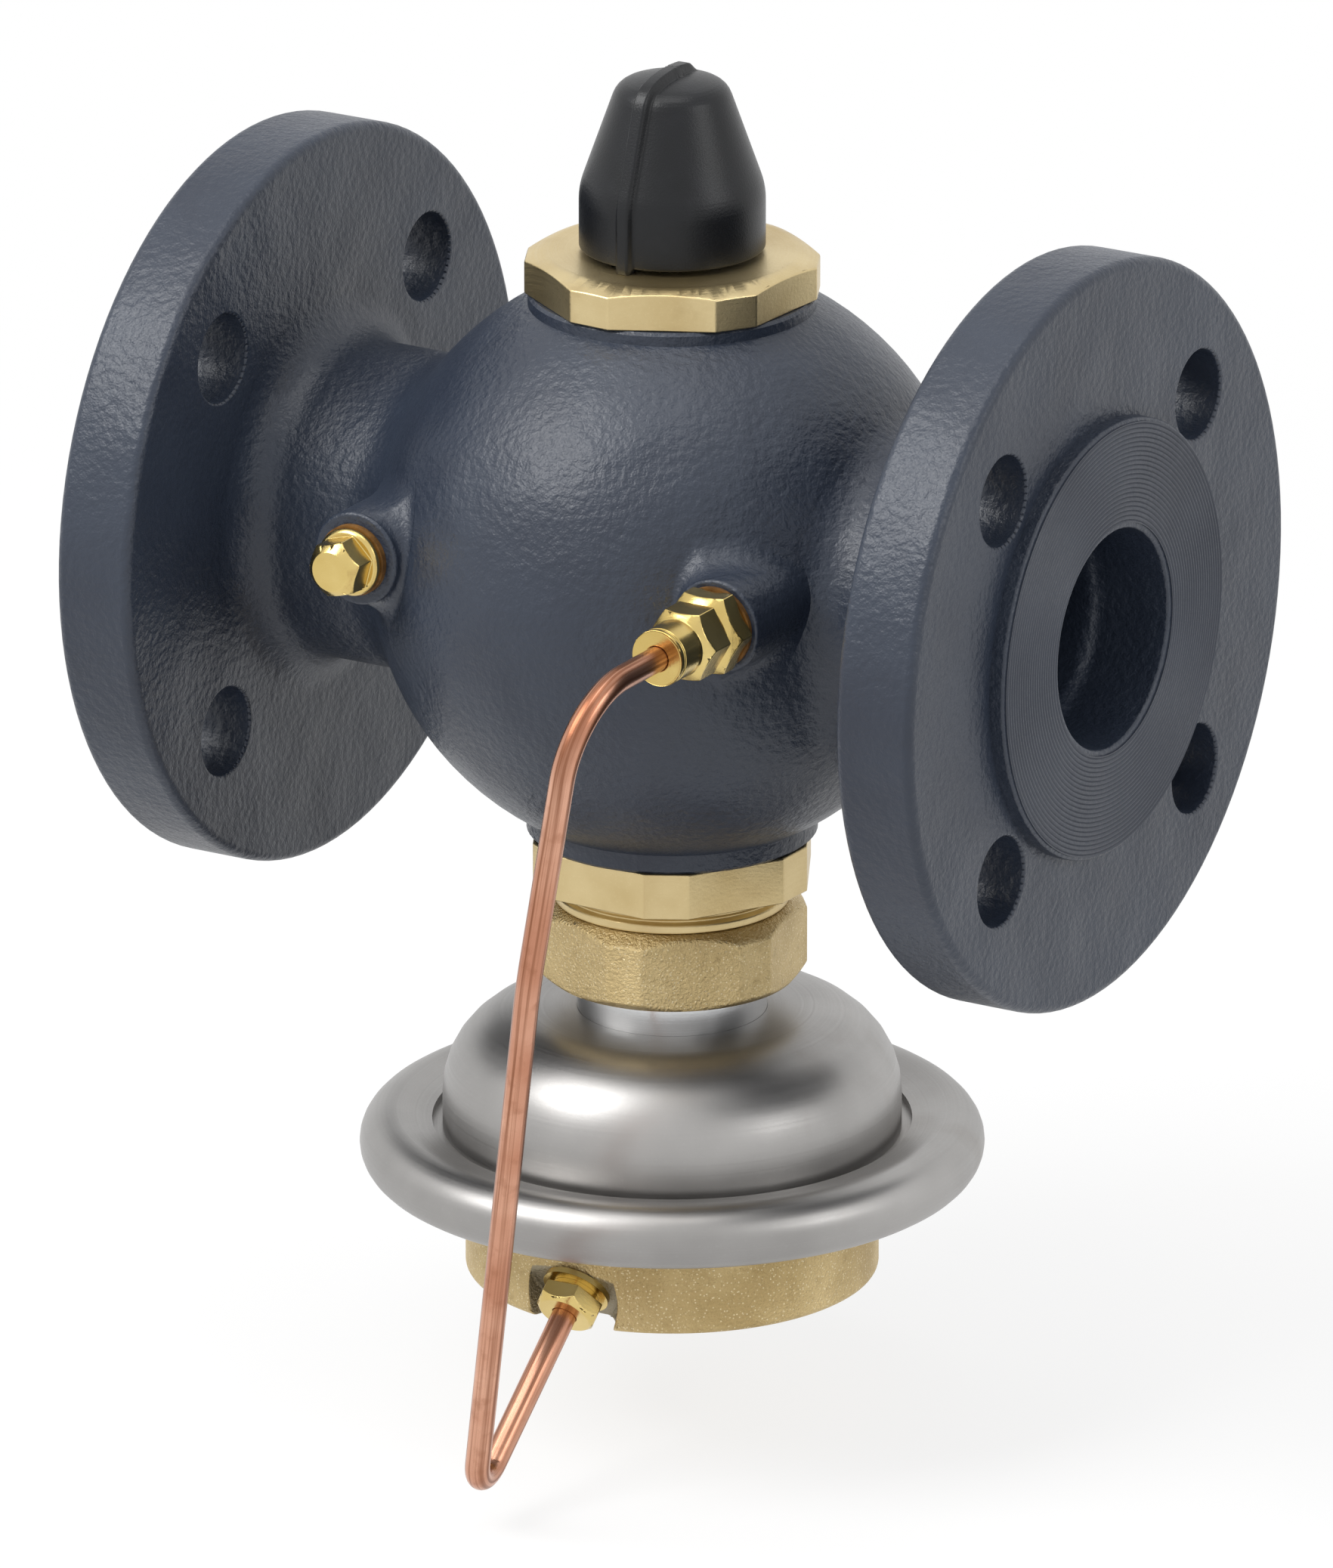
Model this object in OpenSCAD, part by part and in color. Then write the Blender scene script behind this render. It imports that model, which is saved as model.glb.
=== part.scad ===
// Self-acting flow regulator valve, flanged, with a diaphragm actuator below and a setting knob on top.
// Origin: centre of the inlet port at the inlet's raised face. +X runs along the pipe, +Z up.

/* [Pipe and flanges] */
// Distance between the two raised faces
face_to_face = 200; // [190:5:230]
// Outer diameter of a flange
flange_d = 150; // [145:1:165]
// Thickness of a flange without its raised face
flange_t = 17; // [14:1:20]
// Diameter of the raised face
raised_face_d = 88; // [80:1:92]
// Height of the raised face
raised_face_h = 3; // [2:0.5:4]
// Bolt circle of a flange
bolt_circle_d = 110; // [108:1:120]
// Diameter of a bolt hole
bolt_hole_d = 18; // [14:1:19]
// Bolt holes in each flange
bolt_hole_count = 4; // [4:4:8]
// Bore of the pipe passage
port_d = 40; // [36:1:42]
// Wider mouth of the passage at the raised face
port_mouth_d = 44; // [43:1:50]
// Depth of the straight mouth
port_mouth_depth = 14; // [8:1:18]
// Rounding of a flange's rim
rim_round = 2; // [1:0.5:3]

/* [Body casting] */
// Diameter of the round bulb
bulb_d = 120; // [116:1:126]
// Wall of the bulb
bulb_wall = 4.6; // [4.2:0.1:8]
// Outer diameter of the pipe neck between bulb and flange
pipe_neck_d = 64; // [60:1:70]
// Fillet between neck and flange
flange_fillet = 9; // [5:1:11]
// Fillet between neck and bulb
bulb_fillet = 12; // [8:1:14]
// Bore of the top and the lower opening
opening_d = 44; // [42:0.5:46]
// Diameter of the collar round the top opening
top_collar_d = 57; // [55:0.5:60]
// Height of the top collar above the bulb, at the collar's edge
top_collar_h = 2.6; // [1.5:0.1:4.5]
// Diameter of the collar round the lower opening
low_collar_d = 58; // [55:0.5:61]
// Height of the lower collar above the bulb, at the collar's edge
low_collar_h = 3.97; // [2.5:0.01:6]
// Thickness of the web that carries the seat
seat_web_t = 8; // [6:1:10]
// Thickness of the two upright webs
side_web_t = 6; // [4:0.5:7]

/* [Pressure taps] */
// Distance of each tap from the stem axis, along the pipe
tap_x = 41; // [39:0.5:43]
// Height of the taps above the pipe axis
tap_z = 8; // [5:0.5:11]
// Diameter of a tap's boss
tap_boss_d = 19; // [17:0.5:20]
// Height of a boss above the bulb, at its edge nearest the stem axis
tap_boss_h = 2.76; // [1:0.02:7]
// Thread diameter in the boss
tap_thread_d = 10; // [9:0.5:11]
// Depth of the thread in the boss
tap_thread_depth = 10; // [9.5:0.5:12]
// Pressure hole of a tap
tap_hole_d = 4; // [3:0.5:5]

/* [Top bonnet and knob] */
// Across the wide faces of the bonnet hexagons
bonnet_af = 54.5; // [52:0.5:56]
// Across the cut corners of the bonnet hexagons
bonnet_cut_af = 57.8; // [57:0.2:59]
// Height of the top hexagon
top_hex_h = 8.4; // [7:0.2:11]
// Turn of the top hexagon's front face towards +X, in degrees
top_hex_turn = 26; // [0:1:59]
// Diameter of the setting spindle
spindle_d = 10; // [9:0.5:11]
// Diameter of the knob's skirt
knob_d = 36.8; // [34:0.2:42]
// Height of the knob
knob_h = 35; // [33:0.5:40]
// Height of the knob's straight skirt
knob_skirt_h = 12; // [9:0.5:14]
// Diameter of the knob where its cone ends
knob_top_d = 22; // [19:0.5:24]
// Wall of the knob
knob_wall = 2.2; // [1.8:0.1:3]
// Width of the pointer rib on the knob
knob_rib_w = 3; // [2:0.2:4]

/* [Flow setting] */
// Diameter of the restrictor plug
restrictor_d = 31; // [28:0.5:32]
// Diameter of the restrictor's guided stem
restrictor_stem_d = 24; // [20:0.5:25]
// Travel of the restrictor
restrictor_travel = 10; // [6:0.5:10]

/* [Seat and control cone] */
// Bore of the seat
seat_bore_d = 33; // [32:0.2:34]
// Outer diameter of the seat's thread
seat_thread_d = 40; // [39:0.2:41]
// Diameter of the control cone
cone_d = 37; // [36:0.5:40]
// Stroke of the control cone
stroke = 7; // [4:0.5:7]
// Diameter of the valve and actuator stems
stem_d = 10; // [8:0.5:11]

/* [Lower bonnet and union nut] */
// Height of the lower hexagon
low_hex_h = 9.5; // [8:0.5:11]
// Turn of the lower hexagon's front face towards +X, in degrees
low_hex_turn = 58; // [0:1:59]
// Diameter of the turned neck under the lower hexagon
low_neck_d = 47; // [45:0.5:49]
// Height of the turned neck
low_neck_h = 5; // [4:0.5:7]
// Across the wide faces of the union nut
union_af = 50; // [48:0.5:52]
// Across the cut corners of the union nut
union_cut_af = 53.4; // [53:0.2:55]
// Height of the union nut
union_h = 16; // [15:0.5:19]
// Turn of the union nut's front face towards +X, in degrees
union_turn = 39; // [0:1:59]

/* [Actuator] */
// Diameter of the actuator's neck
act_neck_d = 38; // [37:0.5:39]
// Height of the neck that shows under the union nut
act_neck_h = 7; // [6:0.5:10]
// Diameter of the dome
dome_d = 91.8; // [90:0.2:93]
// Height of the dome above its foot
dome_h = 21.5; // [21:0.5:26]
// Rounding of the dome's shoulder
dome_round = 18; // [14:0.5:18]
// Sheet thickness of the actuator's shells
sheet_t = 1.5; // [1.2:0.1:1.8]
// How far the rolled rim stands out beyond the dome
rim_reach = 16.6; // [16:0.1:20]
// Diameter of the rim's round section
rim_section_d = 13; // [12.6:0.1:14]
// Thickness of the diaphragm
diaphragm_t = 1.6; // [1:0.1:1.8]
// Diameter of the diaphragm's plates
plate_d = 60; // [56:0.5:60]
// Diameter of the cast base
base_d = 82.8; // [80:0.2:83]
// Height of the cast base below the rim
base_h = 20.1; // [19:0.1:24]

/* [Control spring] */
// Mean diameter of the spring
spring_d = 46; // [42:0.5:48]
// Wire diameter of the spring
spring_wire_d = 2.8; // [2:0.1:3]
// Turns of the spring
spring_turns = 4; // [3:0.5:5]

/* [Impulse pipe] */
// Outer diameter of the pipe
pipe_d = 5; // [4:0.1:5.2]
// Wall of the pipe
pipe_wall = 0.8; // [0.6:0.05:1]
// Straight run of the pipe in front of the upper nut, to its corner
pipe_run = 31; // [28:0.5:36]
// Length of the short leg from the lower nut to the sharp bend's corner
pipe_short_leg = 46; // [40:0.5:52]
// Bend radius at the upper corner
pipe_bend_r = 16; // [12:0.5:18]
// Bend radius at the sharp lower corner
pipe_sharp_r = 6.5; // [6:0.1:8]
// Angle of the lower tap below the horizontal, in degrees
low_tap_tilt = 38; // [35:0.5:41]
// Turn of the lower tap towards +X, in degrees
low_tap_turn = 1; // [0:0.5:4]

/* [Fittings] */
// Across the flats of the upper connector
connector_af = 15.5; // [14:0.5:17]
// Across the flats of the upper compression nut
nut_af = 13.5; // [13:0.1:14]
// Diameter of the upper nut's long tail
nut_tail_d = 11.4; // [10:0.2:12]
// Across the flats of the lower compression nut
low_nut_af = 12; // [11.5:0.1:13]
// Across the flats of the tap plug
plug_af = 10.5; // [9.5:0.1:11.5]
// Diameter of the tap plug's collar
plug_collar_d = 13.7; // [12.5:0.1:15]

/* [Hidden] */

// Clearances and shared small sizes
fit_gap = 0.05;      // between pieces that are screwed or pressed together
run_gap = 0.05;      // radial running fit of guided shafts
overrun = 1;         // how far a cut runs past the face it opens
edge = 0.6;          // small edge break
o_ring_d = 2.2;      // section of the two bonnet O-rings
o_groove_w = 2.8;    // width of their grooves
curve_n = 96;        // facets of drawn circles, true circles in the solid
arc_n = 8;           // steps of a profile's arc

// Levels above the pipe axis
axis_x = face_to_face / 2;
top_z = sqrt(pow(bulb_d / 2, 2) - pow(top_collar_d / 2, 2)) + top_collar_h;
top_hex_top = top_z + top_hex_h;
knob_gap = 1;
knob_z = top_hex_top + knob_gap;

// Levels below the pipe axis
low_collar_z = sqrt(pow(bulb_d / 2, 2) - pow(low_collar_d / 2, 2)) + low_collar_h;
low_hex_z = -low_collar_z - low_hex_h;
low_neck_z = low_hex_z - low_neck_h;
union_z = low_neck_z - union_h;
dome_z = union_z - act_neck_h;
dome_foot_z = dome_z - dome_h;
rim_step = 0.4;
rim_d = dome_d + 2 * rim_reach;
rim_r = rim_section_d / 2;
rim_c_r = rim_d / 2 - rim_r;
rim_c_z = dome_foot_z - rim_step - rim_r;
rim_low_z = rim_c_z - rim_r;
clamp_rise = 3.2;
clamp_z = rim_c_z + clamp_rise;
rubber_z = clamp_z - sheet_t;
pan_z = rubber_z - diaphragm_t;
base_top_z = pan_z - sheet_t;
base_flange_z = rim_low_z + sheet_t;
base_z = rim_low_z - base_h;

// Distance of the taps' faces in front of the pipe axis
tap_boss_reach = sqrt(pow(bulb_d / 2, 2) - pow(tap_x - tap_boss_d / 2, 2) - tap_z * tap_z) + tap_boss_h;

// Bonnet openings
opening_r = opening_d / 2;
spigot_r = opening_r - fit_gap;
top_spigot_h = 15.4;
low_spigot_h = 12.5;
collar_cover = 2.3;
top_inner_z = top_z - top_spigot_h / 2 - o_groove_w / 2 - collar_cover;
low_inner_z = low_spigot_h / 2 + o_groove_w / 2 + collar_cover - low_collar_z;

// Seat and cone
seat_lip_h = 1;
seat_lip_w = 2;
seat_flange_t = 2;
seat_flange_w = 1.5;
seal_gap = 0.2;
seal_t = 2;
cone_disc_t = 5.8;
cone_hub_d = 16;
cone_hub_h = 6;
cone_nut_t = 2.4;
cone_nut_af = 13;
cone_spigot_drop = 0.4;
stem_tip_d = stem_d - 2 * overrun;
seat_low_z = -seat_web_t / 2 - seat_lip_h;
seal_z = seat_low_z - stroke - seal_gap;
cone_top_z = seal_z - seal_t;
cone_low_z = cone_top_z - cone_disc_t;
cone_spigot_z = seal_z - cone_spigot_drop;
cone_spigot_r = seat_bore_d / 2 - seat_lip_w;
stem_tip_z = cone_spigot_z + cone_nut_t;
stem_joint_z = union_z + act_neck_h;

// Restrictor and spindle
restrictor_dip = 2;
restrictor_lift = restrictor_travel - restrictor_dip;
restrictor_plug_h = 8;
restrictor_floor = 2;
restrictor_z = restrictor_lift;
guide_tube_d = 31;
guide_tube_gap = 4;
guide_tube_z = restrictor_z + restrictor_plug_h + guide_tube_gap;
spindle_r = spindle_d / 2;
spindle_collar_r = 8;
spindle_collar_t = 2.4;
spindle_collar_gap = 1.5;
bonnet_head_t = 17.8;
guide_top_z = top_hex_top - bonnet_head_t;
spindle_collar_z = guide_top_z - 2 * fit_gap - spindle_collar_t;
restrictor_top_z = spindle_collar_z - spindle_collar_gap;
spindle_low_z = guide_tube_z + guide_tube_gap;
spindle_ring_d = 1.8;
spindle_groove_w = 2.2;
spindle_groove_pitch = 5;
spindle_groove_z = guide_top_z + spindle_groove_w;
spindle_hex_af = 8.4;
knob_hub_gap = 1.6;
spindle_hex_h = 18;
spindle_hex_z = knob_z + knob_hub_gap;
spindle_top_z = spindle_hex_z + spindle_hex_h;
circlip_t = 1;
circlip_gap = 0.2;
circlip_d = 14;
circlip_depth = 0.6;
key_d = 3;
key_drop = 10;
key_z = guide_tube_z + key_drop;
key_reach = 1;
key_gap = 0.15;

// Lower bonnet and actuator neck
bush_wall = 3;
bush_h = 16;
gland_clear = 0.4;
gland_ring_d = 2.3;
gland_groove_w = 3;
gland_groove_gap = 6;
low_thread_r = 20.9;
low_thread_h = 8;
neck_flange_t = 4;
union_lip_gap = 0.15;
neck_inner_flange_r = 24;
neck_inner_flange_t = 2.5;
groove_depth = 1;
groove_h = 1.6;
hex_chamfer_drop = 1;
hex_chamfer_in = 2.8;
neck_flange_z = low_neck_z - low_thread_h;
neck_shoulder_z = neck_flange_z - neck_flange_t;

// Actuator inside
stack_r = rim_c_r;
rim_lip_gap = 2.1;
rim_lip_r = dome_d / 2 + rim_lip_gap;
rim_lip_w = 1.5;
rim_low_lip_r = base_d / 2 + edge;
plate_r = plate_d / 2;
plate_t = 2;
roll_in_gap = 0.2;
roll_out_gap = 1.4;
roll_r = (dome_d / 2 - sheet_t - plate_r - roll_in_gap - roll_out_gap - diaphragm_t) / 2;
roll_c_r = plate_r + roll_in_gap + diaphragm_t / 2 + roll_r;
plate_collar_r = 8;
plate_collar_t = 3;
pan_floor_gap = 0.8;
pan_hole_r = 12;
pan_wall_out = 4.1;
pan_wall_r = base_d / 2 + pan_wall_out;
pan_floor_z = pan_z - plate_t - pan_floor_gap;
diaphragm_nut_af = 17;
diaphragm_nut_t = 6;
stem_low_z = pan_z - plate_t - diaphragm_nut_t - edge;
base_cavity_r = 30;
base_floor_t = 8;
base_edge = 0.8;
spring_top_z = dome_z - sheet_t - neck_inner_flange_t;
spring_low_z = rubber_z + plate_t;
spring_gap = 0.15;
spring_ring_n = 24;
spring_side_n = 8;
spring_end_share = 0.16;

// Lower tap: a pocket with a flat floor square to the tap's axis
low_tap_r = 38.1;
low_tap_drop = 12.8;
low_tap_z = rim_low_z - low_tap_drop;
low_pocket_r = 10;
low_tap_thread_r = 4.9;
low_tap_thread_depth = 7;
low_tap_hole_r = 1.5;
low_tap_hole_h = 16;
low_washer_t = 1.2;
low_washer_r = 6.9;
low_shank_h = 1.6;
low_nut_h = 4.2;
low_face = low_washer_t + low_shank_h + low_nut_h;

// Upper fitting, measured outwards from the boss's face
gasket_t = 0.9;
gasket_r = 8.2;
connector_h = 6;
nut_gap = 0.3;
nut_h = 7.8;
nut_tail_h = 7.5;
nut_groove_depth = 0.4;
nut_groove_w = 0.5;
nut_groove_back = 1.2;
nut_face = gasket_t + connector_h + nut_gap + nut_h + nut_tail_h;
connector_spigot_r = 4.4;
connector_spigot_h = 4.6;
pipe_socket_h = 3;
ferrule_h = 2;
ferrule_r = 3.8;
low_spigot_r = 4;
low_socket_h = 2.4;
hex_face_chamfer = 1.2;

// Tap plug
plug_gasket_t = 1.3;
plug_gasket_r = 7.2;
plug_collar_t = 2;
plug_hex_h = 6.4;
plug_face_chamfer = 1.3;
plug_shank_h = 9;
plug_turn = 15;      // turn of the plug's hexagon, in degrees

// Knob
knob_top_drop = 2.2;
knob_top_round = 2.4;
knob_dome = 0.8;
knob_rib_out = 0.8;
knob_rib_drop = 0.6;
knob_hub_r = 7.4;
knob_fin_back = 3.2;

// Impulse pipe
pipe_r = pipe_d / 2;
pipe_side_n = 16;
pipe_bend_n = 10;
pipe_bow = [27, -101, -54];
pipe_bow_r = 160;

function arc(cx, cy, r, a0, a1, n = arc_n) =
    [for (i = [0 : n]) let (a = a0 + (a1 - a0) * i / n) [cx + r * cos(a), cy + r * sin(a)]];
function unit(v) = v / norm(v);

// A solid of revolution about the stem axis, from a profile of [radius, height]
module turned(profile) rotate_extrude($fn = curve_n) polygon(profile);

module ring(r_out, r_in, z_low, z_high)
    turned([[r_in, z_low], [r_out, z_low], [r_out, z_high], [r_in, z_high]]);

module rod(r, z_low, z_high) translate([0, 0, z_low]) cylinder(r = r, h = z_high - z_low, $fn = curve_n);

module o_ring(bore_r, section_d, z, outward)
    turned(arc(bore_r + outward * section_d / 2, z, section_d / 2 - fit_gap, 0, 360 - 360 / (2 * arc_n), 2 * arc_n - 1));

module hexagon(af, z_low, z_high)
    translate([0, 0, z_low]) cylinder(d = af / cos(30), h = z_high - z_low, $fn = 6);

// A hexagon whose corners are cut by a second, wider one
module cut_hexagon(af, cut_af, turn, z_low, z_high)
    rotate([0, 0, turn - 120])
        intersection() {
            hexagon(af, z_low, z_high);
            rotate([0, 0, 30]) hexagon(cut_af, z_low, z_high);
        }

// Trims the corners of a hexagon's upper end with a shallow cone
module crown(af, z_low, z_high, inset, drop) {
    corner_r = af / 2 / cos(30) + overrun;
    turned([[0, z_low - overrun], [corner_r, z_low - overrun],
            [corner_r, z_high - drop * (corner_r - af / 2 + inset) / inset],
            [af / 2 - inset, z_high], [0, z_high]]);
}

module at_stem() translate([axis_x, 0, 0]) children();

// Local +Z points out of the valve, towards the viewer
module at_tap(side) translate([axis_x + side * tap_x, -tap_boss_reach, tap_z]) rotate([90, 0, 0]) children();

module at_low_tap()
    translate([axis_x, 0, 0]) rotate([0, 0, low_tap_turn])
        translate([0, -low_tap_r, low_tap_z]) rotate([90 + low_tap_tilt, 0, 0]) children();

// Flange and neck on the +X side of the stem axis, turned about the pipe axis
module pipe_end_solid() {
    face = face_to_face / 2;
    rim_out = face - raised_face_h;
    rim_in = rim_out - flange_t;
    neck_r = pipe_neck_d / 2;
    reach = bulb_d / 2 + bulb_fillet;
    fillet_x = sqrt(reach * reach - pow(neck_r + bulb_fillet, 2));
    touch = atan2(neck_r + bulb_fillet, fillet_x);
    rotate([0, 90, 0])
        rotate_extrude($fn = curve_n)
            polygon(concat(
                [[0, 0], [neck_r, 0]],
                arc(neck_r + bulb_fillet, fillet_x, bulb_fillet, 270 - touch, 180),
                arc(neck_r + flange_fillet, rim_in - flange_fillet, flange_fillet, 180, 90),
                arc(flange_d / 2 - rim_round, rim_in + rim_round, rim_round, -90, 0),
                arc(flange_d / 2 - rim_round, rim_out - rim_round, rim_round, 0, 90),
                [[raised_face_d / 2, rim_out], [raised_face_d / 2, face], [0, face]]));
}

module pipe_end_cuts() {
    face = face_to_face / 2;
    inner = bulb_d / 2 - bulb_wall;
    rotate([0, 90, 0]) {
        rod(port_d / 2, inner / 2, face);
        rod(port_mouth_d / 2, face - port_mouth_depth, face + overrun);
        translate([0, 0, face - port_mouth_depth - (port_mouth_d - port_d)])
            cylinder(d1 = port_d, d2 = port_mouth_d, h = port_mouth_d - port_d, $fn = curve_n);
        for (i = [0 : bolt_hole_count - 1])
            rotate([0, 0, (i + 0.5) * 360 / bolt_hole_count]) translate([bolt_circle_d / 2, 0, 0])
                rod(bolt_hole_d / 2, face - raised_face_h - flange_t - overrun, face + overrun);
    }
}

// Round collar with a concave foot that stands on the bulb
module collar(d, z) {
    foot = 4;
    base_r = d / 2 + foot;
    turned(concat([[0, 0], [base_r, 0]],
        arc(base_r, sqrt(pow(bulb_d / 2, 2) - base_r * base_r) + foot * foot / base_r, foot, 270, 180, arc_n / 2),
        [[d / 2, z - edge], [d / 2 - edge, z], [0, z]]));
}

module valve_body() {
    inner = bulb_d / 2 - bulb_wall;
    web_x = opening_r + overrun;
    color([0.17, 0.20, 0.25]) at_stem() difference() {
        union() {
            difference() {
                union() {
                    sphere(d = bulb_d, $fn = curve_n);
                    for (s = [0, 1]) mirror([s, 0, 0]) pipe_end_solid();
                    collar(top_collar_d, top_z);
                    mirror([0, 0, 1]) collar(low_collar_d, low_collar_z);
                    for (s = [-1, 1])
                        translate([s * tap_x, -inner / 2, tap_z]) rotate([90, 0, 0])
                            rod(tap_boss_d / 2, 0, tap_boss_reach - inner / 2);
                }
                sphere(r = inner, $fn = curve_n);
            }
            intersection() {
                sphere(r = inner + bulb_wall / 2, $fn = curve_n);
                union() {
                    rod(top_collar_d / 2, top_inner_z, bulb_d / 2);
                    rod(low_collar_d / 2, -bulb_d / 2, low_inner_z);
                    translate([-web_x - side_web_t / 2, -bulb_d / 2, -seat_web_t / 2])
                        cube([2 * web_x + side_web_t, bulb_d, seat_web_t]);
                    translate([-web_x - side_web_t, -bulb_d / 2, -seat_web_t / 2])
                        cube([side_web_t, bulb_d, bulb_d / 2]);
                    translate([web_x, -bulb_d / 2, seat_web_t / 2 - bulb_d / 2])
                        cube([side_web_t, bulb_d, bulb_d / 2]);
                }
            }
        }
        for (s = [0, 1]) mirror([s, 0, 0]) pipe_end_cuts_outside_web();
        rod(opening_r, inner / 2, top_z + overrun);
        rod(opening_r, -low_collar_z - overrun, -inner / 2);
        rod(top_collar_d / 2, top_z, bulb_d / 2 + overrun);
        rod(low_collar_d / 2, -bulb_d / 2 - overrun, -low_collar_z);
        rod(seat_thread_d / 2, -seat_web_t, seat_web_t);
        for (s = [-1, 1])
            translate([s * tap_x, -tap_boss_reach - overrun, tap_z]) rotate([-90, 0, 0]) {
                rod(tap_thread_d / 2, 0, tap_thread_depth + overrun);
                rod(tap_hole_d / 2, 0, tap_boss_reach - inner / 4);
            }
    }
}

// The passage stops short of the upright webs
module pipe_end_cuts_outside_web() intersection() {
    pipe_end_cuts();
    translate([opening_r + overrun + side_web_t, -flange_d, -flange_d])
        cube([face_to_face, 2 * flange_d, 2 * flange_d]);
}

module seat_ring() {
    r_in = seat_bore_d / 2;
    r_thread = seat_thread_d / 2 - fit_gap;
    half = seat_web_t / 2;
    color([0.72, 0.73, 0.74]) at_stem()
        turned([[r_in, seat_low_z], [r_in + seat_lip_w, seat_low_z], [r_in + seat_lip_w, -half], [r_thread, -half],
                [r_thread, half], [r_thread + seat_flange_w, half], [r_thread + seat_flange_w, half + seat_flange_t],
                [r_in, half + seat_flange_t]]);
}

module top_bonnet() {
    groove_z = top_z - top_spigot_h / 2;
    guide_r = restrictor_stem_d / 2 + run_gap;
    color([0.78, 0.66, 0.42]) at_stem() difference() {
        union() {
            intersection() {
                cut_hexagon(bonnet_af, bonnet_cut_af, top_hex_turn, top_z, top_hex_top);
                crown(bonnet_af, top_z, top_hex_top, hex_chamfer_in, hex_chamfer_drop);
            }
            turned([[0, guide_tube_z], [guide_tube_d / 2, guide_tube_z], [guide_tube_d / 2, top_z - top_spigot_h],
                    [spigot_r, top_z - top_spigot_h], [spigot_r, groove_z - o_groove_w / 2],
                    [spigot_r - o_ring_d, groove_z - o_groove_w / 2], [spigot_r - o_ring_d, groove_z + o_groove_w / 2],
                    [spigot_r, groove_z + o_groove_w / 2], [spigot_r, top_z], [0, top_z]]);
        }
        rod(guide_r, guide_tube_z - overrun, guide_top_z);
        rod(spindle_r + run_gap, guide_top_z - overrun, top_hex_top + overrun);
        translate([0, 0, key_z]) rotate([0, 90, 0]) rod(key_d / 2 + fit_gap, guide_r - overrun, guide_tube_d / 2 + overrun);
    }
}

module top_bonnet_o_ring()
    color([0.05, 0.05, 0.05]) at_stem() o_ring(spigot_r - o_ring_d, o_ring_d, top_z - top_spigot_h / 2, 1);

module restrictor_key()
    color([0.6, 0.6, 0.6]) at_stem() translate([0, 0, key_z]) rotate([0, 90, 0])
        rod(key_d / 2, restrictor_stem_d / 2 - key_reach, guide_tube_d / 2);

// Outline of the knob, shrunk by an inset for its inside
function knob_profile(inset) =
    let (r = knob_d / 2 - inset, t = knob_top_d / 2 - inset, z_top = knob_z + knob_h - knob_top_drop - inset)
    concat([[0, knob_z - (inset > 0 ? overrun : 0)], [r, knob_z - (inset > 0 ? overrun : 0)]],
           [[r, knob_z + knob_skirt_h - overrun], [r - knob_rib_drop / 4, knob_z + knob_skirt_h]],
           arc(t - knob_top_round, z_top - knob_top_round / 2, knob_top_round, 20, 80, arc_n / 2),
           [[0, z_top + knob_top_round / 2 + knob_dome]]);

module setting_knob() {
    top = knob_z + knob_h;
    color([0.08, 0.08, 0.09]) at_stem() difference() {
        union() {
            turned(knob_profile(0));
            intersection() {
                turned([for (p = knob_profile(0)) [p[0] > 0 ? p[0] + knob_rib_out : 0,
                        p[1] <= knob_z ? knob_z - knob_rib_drop : p[1] + knob_rib_out]]);
                translate([-knob_rib_w / 2, -knob_d, knob_z - knob_rib_drop])
                    cube([knob_rib_w, knob_d + knob_fin_back, knob_h + 2 * overrun]);
            }
        }
        difference() {
            turned(knob_profile(knob_wall));
            rod(knob_hub_r, knob_z + knob_hub_gap, top);
        }
        hexagon(spindle_hex_af + 2 * fit_gap, knob_z - overrun, spindle_top_z + fit_gap);
    }
}

module setting_spindle() {
    groove_r = spindle_r - spindle_ring_d;
    clip_z = top_hex_top + circlip_gap;
    color([0.70, 0.71, 0.72]) at_stem() {
        difference() {
            union() {
                rod(spindle_r, spindle_low_z, spindle_hex_z);
                rod(spindle_collar_r, spindle_collar_z, spindle_collar_z + spindle_collar_t);
                hexagon(spindle_hex_af, spindle_hex_z, spindle_top_z);
            }
            for (i = [0, 1])
                ring(spindle_d, groove_r, spindle_groove_z + i * spindle_groove_pitch,
                     spindle_groove_z + i * spindle_groove_pitch + spindle_groove_w);
            ring(spindle_d, spindle_r - circlip_depth, clip_z, clip_z + circlip_t);
        }
    }
}

module spindle_o_rings()
    color([0.05, 0.05, 0.05]) at_stem() for (i = [0, 1])
        o_ring(spindle_r - spindle_ring_d, spindle_ring_d,
               spindle_groove_z + i * spindle_groove_pitch + spindle_groove_w / 2, 1);

module spindle_circlip() {
    clip_z = top_hex_top + circlip_gap;
    color([0.45, 0.45, 0.46]) at_stem() difference() {
        ring(circlip_d / 2, spindle_r - circlip_depth + fit_gap, clip_z + fit_gap, clip_z + circlip_t - fit_gap);
        translate([0, -circlip_t, clip_z - overrun]) cube([circlip_d, 2 * circlip_t, circlip_t + 2 * overrun]);
    }
}

module flow_restrictor() {
    shoulder_z = restrictor_z + restrictor_plug_h;
    stem_r = restrictor_stem_d / 2;
    color([0.74, 0.62, 0.38]) at_stem() difference() {
        turned([[0, restrictor_z], [restrictor_d / 2 - edge, restrictor_z], [restrictor_d / 2, restrictor_z + edge],
                [restrictor_d / 2, shoulder_z - edge], [restrictor_d / 2 - edge, shoulder_z], [stem_r, shoulder_z],
                [stem_r, restrictor_top_z], [0, restrictor_top_z]]);
        rod(spindle_r + run_gap, restrictor_z + restrictor_floor, restrictor_top_z + overrun);
        translate([stem_r - key_reach - key_gap, -key_d / 2 - key_gap, key_z - key_d / 2 - key_gap])
            cube([stem_r, key_d + 2 * key_gap, restrictor_top_z - key_z + key_d]);
    }
}

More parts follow.
